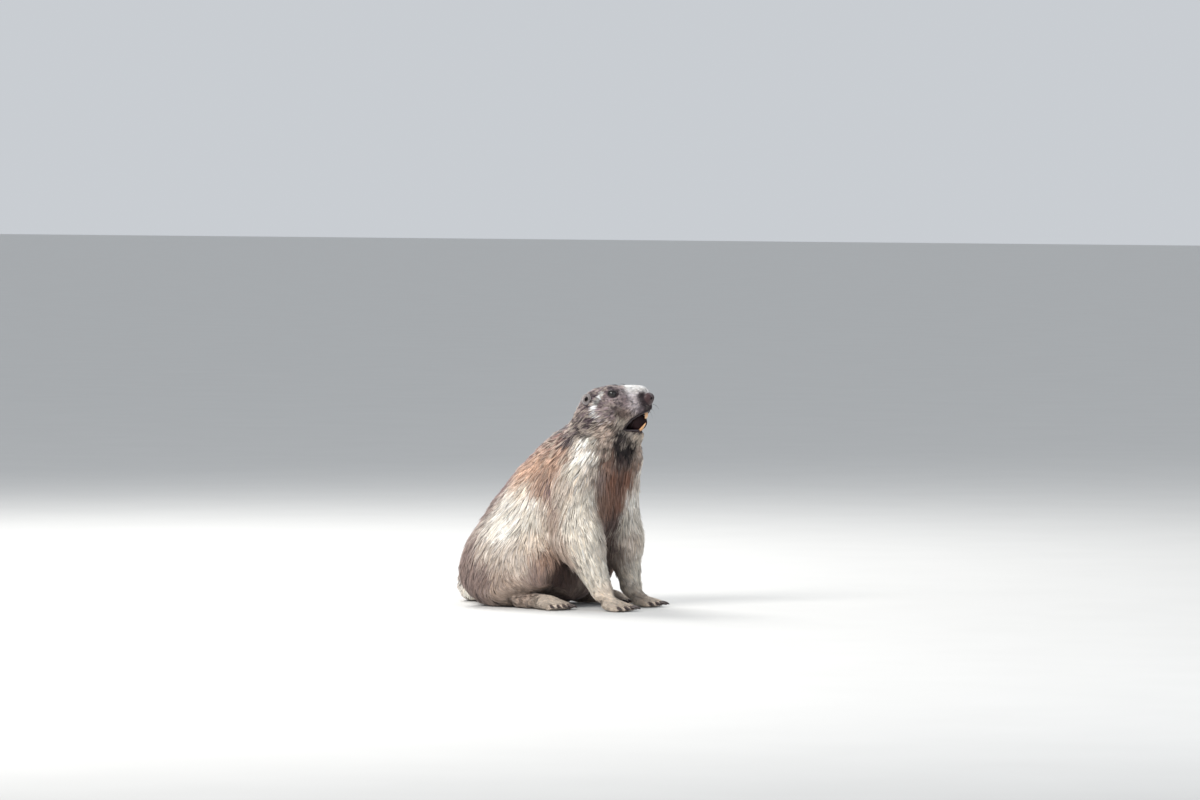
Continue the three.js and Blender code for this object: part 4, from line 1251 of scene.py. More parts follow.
def nap_group() -> bpy.types.NodeTree:
    """Short hair that lies flat: a noise drawn out along the lie of the coat.

    Returns:
        A group with the inputs Lie, Scale and Stretch and the output Height.
    """
    inputs = {"Lie": "Vector", "Scale": "Float", "Stretch": "Float"}
    bench = new_group("Nap", inputs, {"Height": "Float"})
    start, end = bench.add("NodeGroupInput"), bench.add("NodeGroupOutput")
    place = bench.add("ShaderNodeTexCoord")
    along = bench.add("ShaderNodeVectorMath", operation="DOT_PRODUCT")
    less = bench.add("ShaderNodeMath", operation="MULTIPLY")
    taken = bench.add("ShaderNodeVectorMath", operation="SCALE")
    drawn = bench.add("ShaderNodeVectorMath", operation="SUBTRACT")
    hairs = bench.add("ShaderNodeTexNoise", Detail=2.0, Roughness=0.5)
    bench.link(place.outputs["Object"], along.inputs[0])
    bench.link(start.outputs["Lie"], along.inputs[1])
    bench.link(along.outputs["Value"], less.inputs[0])
    bench.link(start.outputs["Stretch"], less.inputs[1])
    bench.link(start.outputs["Lie"], taken.inputs[0])
    bench.link(less.outputs[0], taken.inputs["Scale"])
    bench.link(place.outputs["Object"], drawn.inputs[0])
    bench.link(taken.outputs[0], drawn.inputs[1])
    bench.link(drawn.outputs[0], hairs.inputs["Vector"])
    bench.link(start.outputs["Scale"], hairs.inputs["Scale"])
    bench.link(hairs.outputs["Fac"], end.inputs["Height"])
    return bench.tree


@dataclass(frozen=True)
class Finish:
    """A surface: its gloss, its mottle and its relief over the colours painted on the mesh."""

    name: str
    roughness: float
    specular: float = 0.5
    coat: float = 0.0
    coat_roughness: float = 0.1
    sheen: float = 0.0
    subsurface: float = 0.0
    mottle: float = 0.2
    mottle_scale: float = 60.0
    relief: float = 0.0
    relief_scale: float = 400.0
    hairy: bool = False

    def made(self, groups: "Groups") -> bpy.types.Material:
        """The material.

        Args:
            groups: The shared effects.

        Returns:
            A material whose colour comes from the mesh's own colours.
        """
        material = bpy.data.materials.new(self.name)
        material.use_nodes = True
        bench = Bench(material.node_tree)
        shader = material.node_tree.nodes["Principled BSDF"]
        settings = {
            "Roughness": self.roughness,
            "Specular IOR Level": self.specular,
            "Coat Weight": self.coat,
            "Coat Roughness": self.coat_roughness,
            "Sheen Weight": self.sheen,
            "Sheen Roughness": 0.5,
            "Subsurface Weight": self.subsurface,
            "Subsurface Scale": 0.003,
        }
        for label, value in settings.items():
            shader.inputs[label].default_value = value
        painted = bench.add("ShaderNodeVertexColor", layer_name="Coat")
        grain = bench.add(
            "ShaderNodeGroup", node_tree=groups.grain, Scale=self.mottle_scale, Amount=self.mottle
        )
        bench.link(painted.outputs["Color"], grain.inputs["Color"])
        bench.link(grain.outputs["Color"], shader.inputs["Base Color"])
        if self.relief > 0:
            bump = bench.add("ShaderNodeBump", Strength=0.8, Distance=self.relief * MM)
            if self.hairy:
                lie = bench.add("ShaderNodeAttribute", attribute_name="Lie")
                nap = bench.add(
                    "ShaderNodeGroup", node_tree=groups.nap, Scale=self.relief_scale, Stretch=0.9
                )
                bench.link(lie.outputs["Vector"], nap.inputs["Lie"])
                bench.link(nap.outputs["Height"], bump.inputs["Height"])
            else:
                fine = bench.add("ShaderNodeGroup", node_tree=groups.grain, Scale=self.relief_scale)
                bench.link(fine.outputs["Height"], bump.inputs["Height"])
            bench.link(bump.outputs["Normal"], shader.inputs["Normal"])
        return material


@dataclass
class Groups:
    """The effects that the materials share."""

    grain: bpy.types.NodeTree = field(default_factory=grain_group)
    nap: bpy.types.NodeTree = field(default_factory=nap_group)


class Finishes(Enum):
    """The surfaces of the animal."""

    SKIN = Finish(
        "skin_short_hair", 0.85, 0.2, mottle=0.5, mottle_scale=420, relief=0.5, relief_scale=900, hairy=True
    )
    FUR = Finish("fur_long", 0.62, 0.28, sheen=0.12, mottle=0.3, mottle_scale=160)
    FINE_FUR = Finish("fur_short", 0.68, 0.25, sheen=0.1, mottle=0.3, mottle_scale=260)
    NOSE = Finish(
        "nose_leather", 0.45, 0.35, coat=0.1, coat_roughness=0.3, mottle=0.4, relief=0.25, relief_scale=1100
    )
    LIP = Finish(
        "lip_skin", 0.45, 0.5, coat=0.2, coat_roughness=0.3, mottle=0.3, relief=0.12, relief_scale=900
    )
    EYE = Finish("eye_wet", 0.04, 0.12, coat=0.8, coat_roughness=0.02, mottle=0.3, mottle_scale=500)
    TOOTH = Finish(
        "tooth_enamel", 0.3, 0.5, coat=0.3, subsurface=0.1, mottle=0.35, mottle_scale=300, relief=0.05
    )
    TONGUE = Finish(
        "tongue_wet", 0.6, 0.12, coat=0.0, subsurface=0.2, mottle=0.3, relief=0.2, relief_scale=1300
    )
    HORN = Finish("claw_horn", 0.4, 0.5, mottle=0.6, mottle_scale=260, relief=0.08, relief_scale=700)
    WHISKER = Finish("whisker", 0.4, 0.4, mottle=0.3)


class Wardrobe:
    """Every material, made once."""

    def __init__(self) -> None:
        """Makes the shared effects and the materials."""
        groups = Groups()
        self.made = {finish: finish.value.made(groups) for finish in Finishes}

    def of(self, finish: Finishes) -> bpy.types.Material:
        """The material of a finish."""
        return self.made[finish]


# Skin


@dataclass
class Skin:
    """The one skin over all flesh, finer on the head than on the body."""

    body_step: float = 2.4
    head_step: float = 0.95
    low: Vec = (-178.0, -104.0, -3.0)
    high: Vec = (168.0, 146.0, 300.0)
    head_low: Vec = (50.0, -60.0, 205.0)
    head_high: Vec = (166.0, 82.0, 300.0)
    net: Net | None = None

    @staticmethod
    def ahead(p: np.ndarray) -> np.ndarray:
        """How far places lie ahead of the line behind the ears where the finer net starts."""
        q = HEAD.local(p)
        return (q[:, 0] + 42.0) * 0.63 + (q[:, 2] - 12.0) * 0.77

    def shape(self) -> Net:
        """Builds the net of the body and the finer one of the head.

        Returns:
            Both as one net.
        """
        body = net_surface(FORM.skin, self.low, self.high, self.body_step, lambda c: self.ahead(c) < 1.5)
        head = net_surface(
            FORM.skin, self.head_low, self.head_high, self.head_step, lambda c: self.ahead(c) > -1.0
        )
        self.net = body.joined(head)
        return self.net

    def dress(self, wardrobe: Wardrobe) -> None:
        """Makes the object, with its colours and the lie of the hair on it.

        Args:
            wardrobe: The finishes.
        """
        net = self.net or self.shape()
        colours = MARKINGS.at(net.points)
        long = COAT.at(net.points).deep
        # Darker where the coat is deep: partly the dark underfur, partly painted shade under the coat.
        colours = colours * (0.92 - 0.45 * smooth(3.0, 9.0, long))[:, None]
        flesh = ("head", "jaw", "neck", "chest", "abdomen", "tail_base", "tail_tip")
        parts = ("foreleg", "forepaw", "thigh", "hindfoot")
        limbs = [f"{part}_{side}" for part in parts for side in ("left", "right")]
        piece = Piece("skin", "fur_pale", (*flesh, *limbs))
        made = build(piece, net, wardrobe.of(Finishes.SKIN), colours)
        lie = made.data.attributes.new("Lie", "FLOAT_VECTOR", "POINT")
        lie.data.foreach_set("vector", COAT.at(net.points).way.astype(np.float32).ravel())


# Coat


@dataclass
class Tufts:
    """Tapered three-sided tufts: the paths they follow, and how wide and how coloured they are."""

    paths: np.ndarray  # tuft, step, place
    up: np.ndarray  # the skin's normal at each step
    wide: np.ndarray
    root: np.ndarray
    middle: np.ndarray
    tip: np.ndarray

    def part(self, chosen: np.ndarray) -> "Tufts":
        """Some of the tufts."""
        return Tufts(*[getattr(self, n)[chosen] for n in ("paths", "up", "wide", "root", "middle", "tip")])

    def net(self) -> tuple[Net, np.ndarray, np.ndarray, np.ndarray]:
        """The tufts as a mesh.

        Returns:
            The net, a colour and a normal for each point, and each point's place in its tuft's patch.
        """
        n, rings = self.paths.shape[0], self.paths.shape[1] - 1
        share = np.arange(rings) / rings
        tangent = unit(np.gradient(self.paths, axis=1))[:, :rings]
        up = self.up[:, :rings]
        up = unit(up - np.sum(up * tangent, axis=2, keepdims=True) * tangent)
        side = np.cross(tangent, up)
        width = self.wide[:, None] * np.interp(share, [0.0, 0.35, 0.7, 1.0], [0.75, 1.0, 0.72, 0.3])
        width = width[:, :, None]
        left = self.paths[:, :rings] - side * width * 0.5 - up * width * 0.12
        right = self.paths[:, :rings] + side * width * 0.5 - up * width * 0.12
        ridge = self.paths[:, :rings] + up * width * 0.26
        ringed = np.stack([left, right, ridge], axis=2).reshape(n, rings * 3, 3)
        points = np.concatenate([ringed, self.paths[:, rings:]], axis=1)
        faces = [[0, 1, 2]]
        for j in range(rings - 1):
            for s in range(3):
                a, b = 3 * j + s, 3 * j + (s + 1) % 3
                faces += [[a, b + 3, b], [a, a + 3, b + 3]]
        last = 3 * (rings - 1)
        faces += [[last + s, 3 * rings, last + (s + 1) % 3] for s in range(3)]
        count = 3 * rings + 1
        all_faces = (np.array(faces)[None] + (np.arange(n) * count)[:, None, None]).reshape(-1, 3)
        shares = np.append(np.repeat(share, 3), 1.0)
        # The root's colour fades out by near halfway and the tip's comes in after it; the darker root is
        # partly painted shade.
        dark = np.interp(shares, [0.0, 0.45], [1.0, 0.0])[None, :, None]
        light = np.interp(shares, [0.5, 1.0], [0.0, 1.0])[None, :, None]
        colours = self.root[:, None] * dark + self.tip[:, None] * light
        colours = colours + self.middle[:, None] * (1.0 - dark - light)
        soft = np.concatenate([np.repeat(up, 3, axis=1), up[:, -1:]], axis=1)
        spread = np.stack([-side, side, up], axis=2).reshape(n, rings * 3, 3)
        spread = np.concatenate([spread, up[:, -1:]], axis=1)
        normals = unit(soft * 0.75 + spread * 0.6)
        across = np.append(np.tile([0.0, 1.0, 0.5], rings), 0.5)
        patch = np.repeat(np.stack([across, shares], axis=1)[None], n, axis=0)
        flat = (points.reshape(-1, 3), colours.reshape(-1, 3), normals.reshape(-1, 3), patch.reshape(-1, 2))
        return Net(flat[0], all_faces), flat[1], flat[2], flat[3]


def lay_out(
    made: bpy.types.Object,
    net: Net,
    normals: np.ndarray,
    spots: np.ndarray,
    patch: np.ndarray,
) -> None:
    """Gives tufts their light, and lays each out as a small patch at its root's place.

    Args:
        made: The object of the tufts.
        net: Its net.
        normals: The direction that each point faces.
        spots: The place of each tuft on the coat laid flat.
        patch: The place of each point within its tuft's patch.
    """
    corner = np.repeat(spots, len(net.points) // len(spots), axis=0) + patch * PATCH
    layer = made.data.uv_layers.new(name="OFBake")
    layer.data.foreach_set("uv", corner[net.faces.ravel()].astype(np.float32).ravel())
    made.data.normals_split_custom_set_from_vertices(normals.tolist())


@dataclass(frozen=True)
class Zone:
    """A part of the coat: the line it lies round, the node's slot, and the name of its pieces."""

    name: str
    slot: str
    start: Vec
    end: Vec

    def unwrap(self, p: np.ndarray) -> np.ndarray:
        """Where places lie on the zone laid flat: the angle round its line, and the way along it.

        Args:
            p: Places, one a row.

        Returns:
            Two numbers from 0 to 1 for each place.
        """
        a, b = np.array(self.start, float), np.array(self.end, float)
        axis = unit(b - a)
        level = np.cross(axis, [0.0, 0.0, 1.0]) if abs(axis[2]) < 0.9 else np.cross(axis, [1.0, 0.0, 0.0])
        level = unit(level)
        up = np.cross(axis, level)
        q = p - a
        turn = np.arctan2(q @ up, q @ level) / (2 * np.pi) + 0.5
        along = q @ axis
        reach = max(1.0, along.max() - along.min())
        return np.stack([0.005 + 0.985 * turn, 0.005 + 0.985 * (along - along.min()) / reach], axis=1)


def zones() -> list[tuple[Zone, list[Egg | Taper | Masses]]]:
    """The parts of the coat that its tufts are sorted into.

    Returns:
        Every zone with the masses that it covers.
    """
    made = [
        (Zone("head", "fur_head", (60, -5, 262), (155, 25, 270)), [FORM.skull]),
        (Zone("neck", "fur_head", (62, 0, 185), (80, 2, 250)), [Egg((68, 2, 222), (48, 42, 40))]),
        (
            Zone("chest", "fur_chest", (30, 0, 120), (75, 0, 200)),
            [Taper((45, 0, 140), (72, 0, 178), 66, 58)],
        ),
        (
            Zone("back", "fur_back", (-70, 0, 40), (20, 0, 140)),
            [Taper((-50, 0, 58), (-2, 0, 112), 69, 73, 1.06)],
        ),
        (Zone("tail", "fur_tail_tip", (-110, 0, 40), (-150, 90, 20)), [FORM.tail]),
    ]
    for leg in (*FORELEGS, *HINDLEGS):
        side = "right" if leg.side < 0 else "left"
        if leg in FORELEGS:
            shoulder, elbow, wrist = leg.joints
            top, bend, end = leg.radii
            masses = [Taper(shoulder, elbow, top, bend), Taper(elbow, wrist, bend, end)]
            made.append((Zone(f"foreleg_{side}", "fur_pale", shoulder, wrist), masses))
        else:
            hip, knee = leg.joints[:2]
            masses = [Taper(hip, knee, 46, 36, 0.85), Egg((hip[0] + 4, hip[1], 42), (60, 37, 40))]
            made.append((Zone(f"thigh_{side}", "fur_pale", hip, knee), masses))
    for foot in FORM.feet:
        x = (foot.low[0] + foot.high[0]) / 2
        y = (foot.low[1] + foot.high[1]) / 2
        name = ("forepaw_" if x > 60 else "hindfoot_") + ("right" if y < 0 else "left")
        made.append((Zone(name, "fur_foot", (x - 30, y, 10), (x + 30, y, 10)), [foot]))
    return made


@dataclass
class Fur:
    """The coat: tufts that start on the skin, lie along the body and end at the animal's outline."""

    long_tufts: int = 62000
    short_tufts: int = 36000
    long_steps: int = 3
    short_steps: int = 2
    clump_size: int = 12
    most_faces: int = 190000
    seed: int = 11

    def roots(self, net: Net, rng: np.random.Generator, long_ones: bool) -> tuple[np.ndarray, np.ndarray]:
        """Random places on the skin, closer together where the tufts are small.

        Args:
            net: The skin.
            rng: The source of all chance.
            long_ones: True for the long coat, and False for the short.

        Returns:
            The places and the normals there.
        """
        faces = net.triangles()
        a, b, c = (net.points[faces[:, i]] for i in range(3))
        cross = np.cross(b - a, c - a)
        area = 0.5 * np.linalg.norm(cross, axis=1)
        middle = (a + b + c) / 3.0
        coat = COAT.at(middle)
        long_share = smooth(11.0, 15.0, coat.long)
        weight = area / (coat.long * coat.wide) * (long_share if long_ones else 1.0 - long_share)
        weight *= np.where(FORM.mouth_distance(middle) > 1.0, 1.0, 0.0)
        weight *= np.where(middle[:, 2] > 2.0, 1.0, 0.0)
        weight *= np.where(unit(cross)[:, 2] < -0.8, 0.3, 1.0)
        count = self.long_tufts if long_ones else self.short_tufts
        total = np.cumsum(weight)
        picks = (np.arange(count) + rng.random(count)) / count * total[-1]
        chosen = np.minimum(np.searchsorted(total, picks), len(total) - 1)
        u, v = rng.random(count), rng.random(count)
        fold = u + v > 1
        u, v = np.where(fold, 1 - u, u), np.where(fold, 1 - v, v)
        places = a[chosen] + u[:, None] * (b - a)[chosen] + v[:, None] * (c - a)[chosen]
        return places, unit(cross[chosen])

    def grow(self, net: Net, rng: np.random.Generator, long_ones: bool) -> Tufts:
        """Grows the tufts along the lie of the coat.

        Args:
            net: The skin.
            rng: The source of all chance.
            long_ones: True for the long coat, and False for the short.

        Returns:
            The tufts.
        """
        steps = self.long_steps if long_ones else self.short_steps
        roots, normals = self.roots(net, rng, long_ones)
        coat = COAT.at(roots)
        count = len(roots)
        depth = skin_depth(coat.deep)
        thinner = 1.0
        length = coat.long * rng.uniform(0.7, 1.15, count)
        wide = coat.wide * rng.uniform(0.65, 1.2, count) * thinner
        swirl = 0.22 * noise(roots, 34.0, 21) + 0.16 * noise(roots, 11.0, 22) + rng.normal(0, 0.09, count)
        stray = rng.random(count) < 0.05
        rise = rng.uniform(-0.3, 0.12, count) * np.minimum(coat.deep, 9.0)
        rise += np.where(stray, rng.uniform(0.1, 0.35, count), 0.0) * np.minimum(coat.deep, 9.0)
        paths = np.empty((count, steps + 1, 3))
        ups = np.empty((count, steps + 1, 3))
        sunk = np.minimum(1.2, 0.3 + depth * 0.2)
        p = roots - normals * sunk[:, None]
        paths[:, 0], ups[:, 0] = p, normals
        up = normals
        for step in range(steps):
            share = (step + 1) / steps
            here = COAT.at(p) if step else coat
            way = turned(here.way, up, swirl)
            way = unit(way - np.sum(way * up, axis=1, keepdims=True) * up * 0.95)
            p = p + way * (length / steps)[:, None]
            level = -depth * (1.0 - share**0.75) + rise * share
            p, up = FORM.on_level(p, level, 1)
            p[:, 2] = np.maximum(p[:, 2], 1.1)
            paths[:, step + 1], ups[:, step + 1] = p, up
        leader = self.clump(paths, rng, coat)
        paths[:, :, 2] = np.maximum(paths[:, :, 2], np.where(np.arange(steps + 1) == 0, 0.6, 1.0))
        mixed = rng.normal(0, 1, (count, 3)) * np.clip(coat.long * 0.14, 0.5, 4.5)[:, None]
        middle = MARKINGS.at(roots + (paths[:, -1] - roots) * 0.65 + mixed)
        root, middle, tip = self.colours(roots, middle, coat, leader, rng)
        tufts = Tufts(paths, ups, wide, root, middle, tip)
        return tufts.part(self.clear(paths))

    def clump(self, paths: np.ndarray, rng: np.random.Generator, coat: Local) -> np.ndarray:
        """Draws tufts that stand together towards a common point, most at their tips.

        Args:
            paths: The tufts' paths, which it changes.
            rng: The source of all chance.
            coat: The coat at their roots.

        Returns:
            For each tuft, the one that leads its clump.
        """
        count, steps = len(paths), paths.shape[1] - 1
        leaders = rng.choice(count, max(1, count // self.clump_size), replace=False)
        tree = KDTree(len(leaders))
        for i, leader in enumerate(leaders):
            tree.insert(paths[leader, 0], i)
        tree.balance()
        nearest = leaders[[tree.find(root)[1] for root in paths[:, 0]]]
        offset = paths[:, 0] - paths[nearest, 0]
        near = np.linalg.norm(offset, axis=1) < 14.0
        strength = np.where(near, smooth(3.0, 12.0, coat.long) * rng.uniform(0.3, 0.8, count), 0.0)
        for step in range(1, steps + 1):
            share = step / steps
            goal = paths[nearest, step] + offset * (1.0 - 0.8 * share)
            pull = (strength * share)[:, None]
            paths[:, step] = paths[:, step] * (1.0 - pull) + goal * pull
        return nearest

    def colours(
        self,
        roots: np.ndarray,
        middle: np.ndarray,
        coat: Local,
        leader: np.ndarray,
        rng: np.random.Generator,
    ) -> tuple[np.ndarray, np.ndarray, np.ndarray]:
        """The colours of each tuft at its root, middle and tip: grizzled on head and neck, plainer below,
        with a darker root that is partly painted shade.

        Args:
            roots: Where the tufts start.
            middle: The markings' colour.
            coat: The coat there.
            leader: The tuft that leads each one's clump.
            rng: The source of all chance.

        Returns:
            The three colours of each tuft.
        """
        count = len(roots)
        grizzle = 0.2 + 0.8 * smooth(188.0, 226.0, roots[:, 2])
        muzzle = smooth(14.0, 26.0, HEAD.local(roots)[:, 0]) * smooth(226.0, 240.0, roots[:, 2])
        grizzle *= 1.0 - 0.6 * muzzle
        shared = rng.normal(0, 1, count)[leader]
        patchy = 0.5 * shared + 0.5 * noise(roots, 4.2, 33) + 0.12 * noise(roots, 15.0, 32)
        tone = np.exp(grizzle * patchy + rng.normal(0, 0.09, count))
        warm = 1.0 + rng.normal(0, 0.03, (count, 1)) * np.array([1.0, 0.2, -1.0])
        middle = middle * np.clip(tone, 0.4, 1.7)[:, None] * warm
        # Roots darker and warmer where the coat is deep: partly the hairs' own dark base, partly painted
        # shade down in the coat.
        deep = smooth(2.0, 9.0, coat.deep)[:, None]
        root = middle * (0.75 - 0.3 * deep) * np.array([1.0, 0.93, 0.87])
        tip = middle * rng.uniform(0.9, 1.25, (count, 1))
        chance = np.where(rng.random(count) < 0.75, rng.random(count)[leader], rng.random(count))
        lit = smooth(0.015, 0.04, middle.mean(axis=1))
        pale = (lit * grizzle * np.where(chance < 0.3 * grizzle, 0.7, 0.0))[:, None]
        tip = tip * (1.0 - pale) + Shade.OAT.rgb * pale
        middle = middle * (1.0 - 0.5 * pale) + Shade.OAT.rgb * 0.5 * pale
        dark = (chance > 1.0 - 0.26 * grizzle)[:, None]
        middle = np.where(dark, middle * 0.5, middle)
        tip = np.where(dark, tip * 0.55, tip)
        return root, middle, tip

    def clear(self, paths: np.ndarray) -> np.ndarray:
        """Which tufts keep clear of the eyes, nose and open mouth.

        Args:
            paths: The tufts' paths.

        Returns:
            True for each tuft that keeps clear.
        """
        keep = np.ones(len(paths), bool)
        for step in range(paths.shape[1]):
            p = paths[:, step]
            keep &= FORM.mouth_distance(p) > (0.9 if step else 2.0)
            q = HEAD.local(p)
            near = np.linalg.norm((q - np.array(NOSE_AT)) / (np.array(NOSE_RADII) + 0.4), axis=1)
            keep &= near > 1.0
            for side in SIDES:
                at, out = mirrored(EYE_AT, side), unit(mirrored(EYE_OUT, side))
                ray = q - at
                far = np.linalg.norm((ray - (ray @ out)[:, None] * out) / [1.2, 1.0, 0.86], axis=1)
                keep &= ~((far < (6.4 if step else 7.0)) & (ray @ out > 0))
        return keep

    def dress(self, net: Net, wardrobe: Wardrobe) -> None:
        """Grows the whole coat and makes its pieces, zone by zone.

        Args:
            net: The skin.
            wardrobe: The finishes.
        """
        rng = np.random.default_rng(self.seed)
        table = zones()
        for long_ones in (True, False):
            tufts = self.grow(net, rng, long_ones)
            root = tufts.paths[:, 0]
            off = np.stack([np.min([m.distance(root) for m in masses], axis=0) for _, masses in table])
            home = np.argmin(off, axis=0)
            for i, (zone, _) in enumerate(table):
                chosen = np.flatnonzero(home == i)
                if len(chosen):
                    self.pieces(zone, tufts.part(chosen), long_ones, wardrobe)

    def pieces(self, zone: Zone, tufts: Tufts, long_ones: bool, wardrobe: Wardrobe) -> None:
        """Makes the pieces of one zone, each small enough, with the patches of their tufts laid out.

        Args:
            zone: The part of the coat.
            tufts: Its tufts.
            long_ones: True for the long coat, and False for the short.
            wardrobe: The finishes.
        """
        spots = zone.unwrap(tufts.paths[:, 0])
        each = 6 * (self.long_steps if long_ones else self.short_steps) - 2  # faces of one tuft
        parts = max(1, math.ceil(len(spots) * each / self.most_faces))
        order = np.argsort(spots[:, 0], kind="stable")
        kind = "long" if long_ones else "short"
        finish = Finishes.FUR if long_ones else Finishes.FINE_FUR
        for number, chosen in enumerate(np.array_split(order, parts), 1):
            net, colours, normals, patch = tufts.part(chosen).net()
            name = f"coat_{kind}_{zone.name}_{number}"
            made = build(Piece(name, zone.slot), net, wardrobe.of(finish), colours)
            lay_out(made, net, normals, spots[chosen], patch)


# Head


def flat_colours(net: Net, shade: Shade) -> np.ndarray:
    """One shade for every point of a net."""
    return np.repeat(shade.rgb[None], len(net.points), axis=0)


@dataclass
class Eye:
    """An eyeball and the two lids that lie on it."""

    side: int
    wide: float = 60.0
    high: float = 38.0
    rim: float = 0.85
    count: int = 40

    @property
    def name(self) -> str:
        """The side's name."""
        return "right" if self.side < 0 else "left"

    def frame(self) -> tuple[np.ndarray, np.ndarray, np.ndarray, np.ndarray]:
        """Where the eye is and how it is turned.

        Returns:
            The middle of the ball, the way it looks, and the level and upright directions across it.
        """
        at, out = mirrored(EYE_AT, self.side), unit(mirrored(EYE_OUT, self.side))
        up = np.array([0.2, 0.0, 1.0])
        up = unit(up - (up @ out) * out)
        return at, out, np.cross(up, out) * self.side, up

    def ball(self) -> tuple[Net, np.ndarray]:
        """The eyeball with its cornea.

        Returns:
            Its net, and a colour for each point.
        """
        at, out, _, _ = self.frame()
        net = net_ball((0, 0, 0), (EYE_RADIUS,) * 3)
        facing = unit(net.points) @ out
        bulge = 0.45 * smooth(0.72, 0.97, facing)
        colours = np.repeat(linear(0x0E0909)[None], len(facing), axis=0)
        iris = smooth(0.66, 0.8, facing) * (1.0 - smooth(0.93, 0.96, facing))
        colours = colours + iris[:, None] * linear(0x0C0807)
        net.points = net.points + unit(net.points) * bulge[:, None] + at
        return net.placed(), colours

    def lids(self) -> Net:
        """Upper and lower lid as one almond rim, drawn out towards the nose.

        Returns:
            The rim.
        """
        at, out, level, up = self.frame()
        angle = 2 * np.pi * np.arange(self.count) / self.count
        front = np.maximum(np.cos(angle), 0.0) ** 6
        rows = []
        section = ((0.0, 0.25), (2.5, 0.95), (8.0, self.rim), (15.0, 0.7), (24.0, -0.5), (16.0, -1.6))
        for more, lift in section:
            across = (self.wide + more + 9.0 * front) * np.cos(angle)
            open_ = np.radians(np.hypot(across, (self.high + more) * np.sin(angle)))
            low = -0.09 * front
            ring = np.cos(angle)[:, None] * level + (np.sin(angle) + low)[:, None] * up
            ray = np.cos(open_)[:, None] * out + np.sin(open_)[:, None] * unit(ring)
            rows.append(at + unit(ray) * (EYE_RADIUS + lift))
        points = np.stack(rows, axis=1).reshape(-1, 3)
        sides = len(rows)
        faces = []
        for i in range(self.count):
            j = (i + 1) % self.count
            for s in range(sides):
                t = (s + 1) % sides
                faces.append([i * sides + s, i * sides + t, j * sides + t, j * sides + s])
        faces = np.array(faces)
        return Net(points, faces if self.side > 0 else faces[:, ::-1]).placed()

    def dress(self, wardrobe: Wardrobe) -> None:
        """Makes the eyeball and its lids.

        Args:
            wardrobe: The finishes.
        """
        net, colours = self.ball()
        ball = Piece(f"eyeball_{self.name}", "eye", (f"eye_{self.name}",))
        build(ball, net, wardrobe.of(Finishes.EYE), colours)
        lids = self.lids()
        rim = Piece(f"lids_{self.name}", "nose_skin")
        build(rim, lids, wardrobe.of(Finishes.LIP), flat_colours(lids, Shade.LIP))


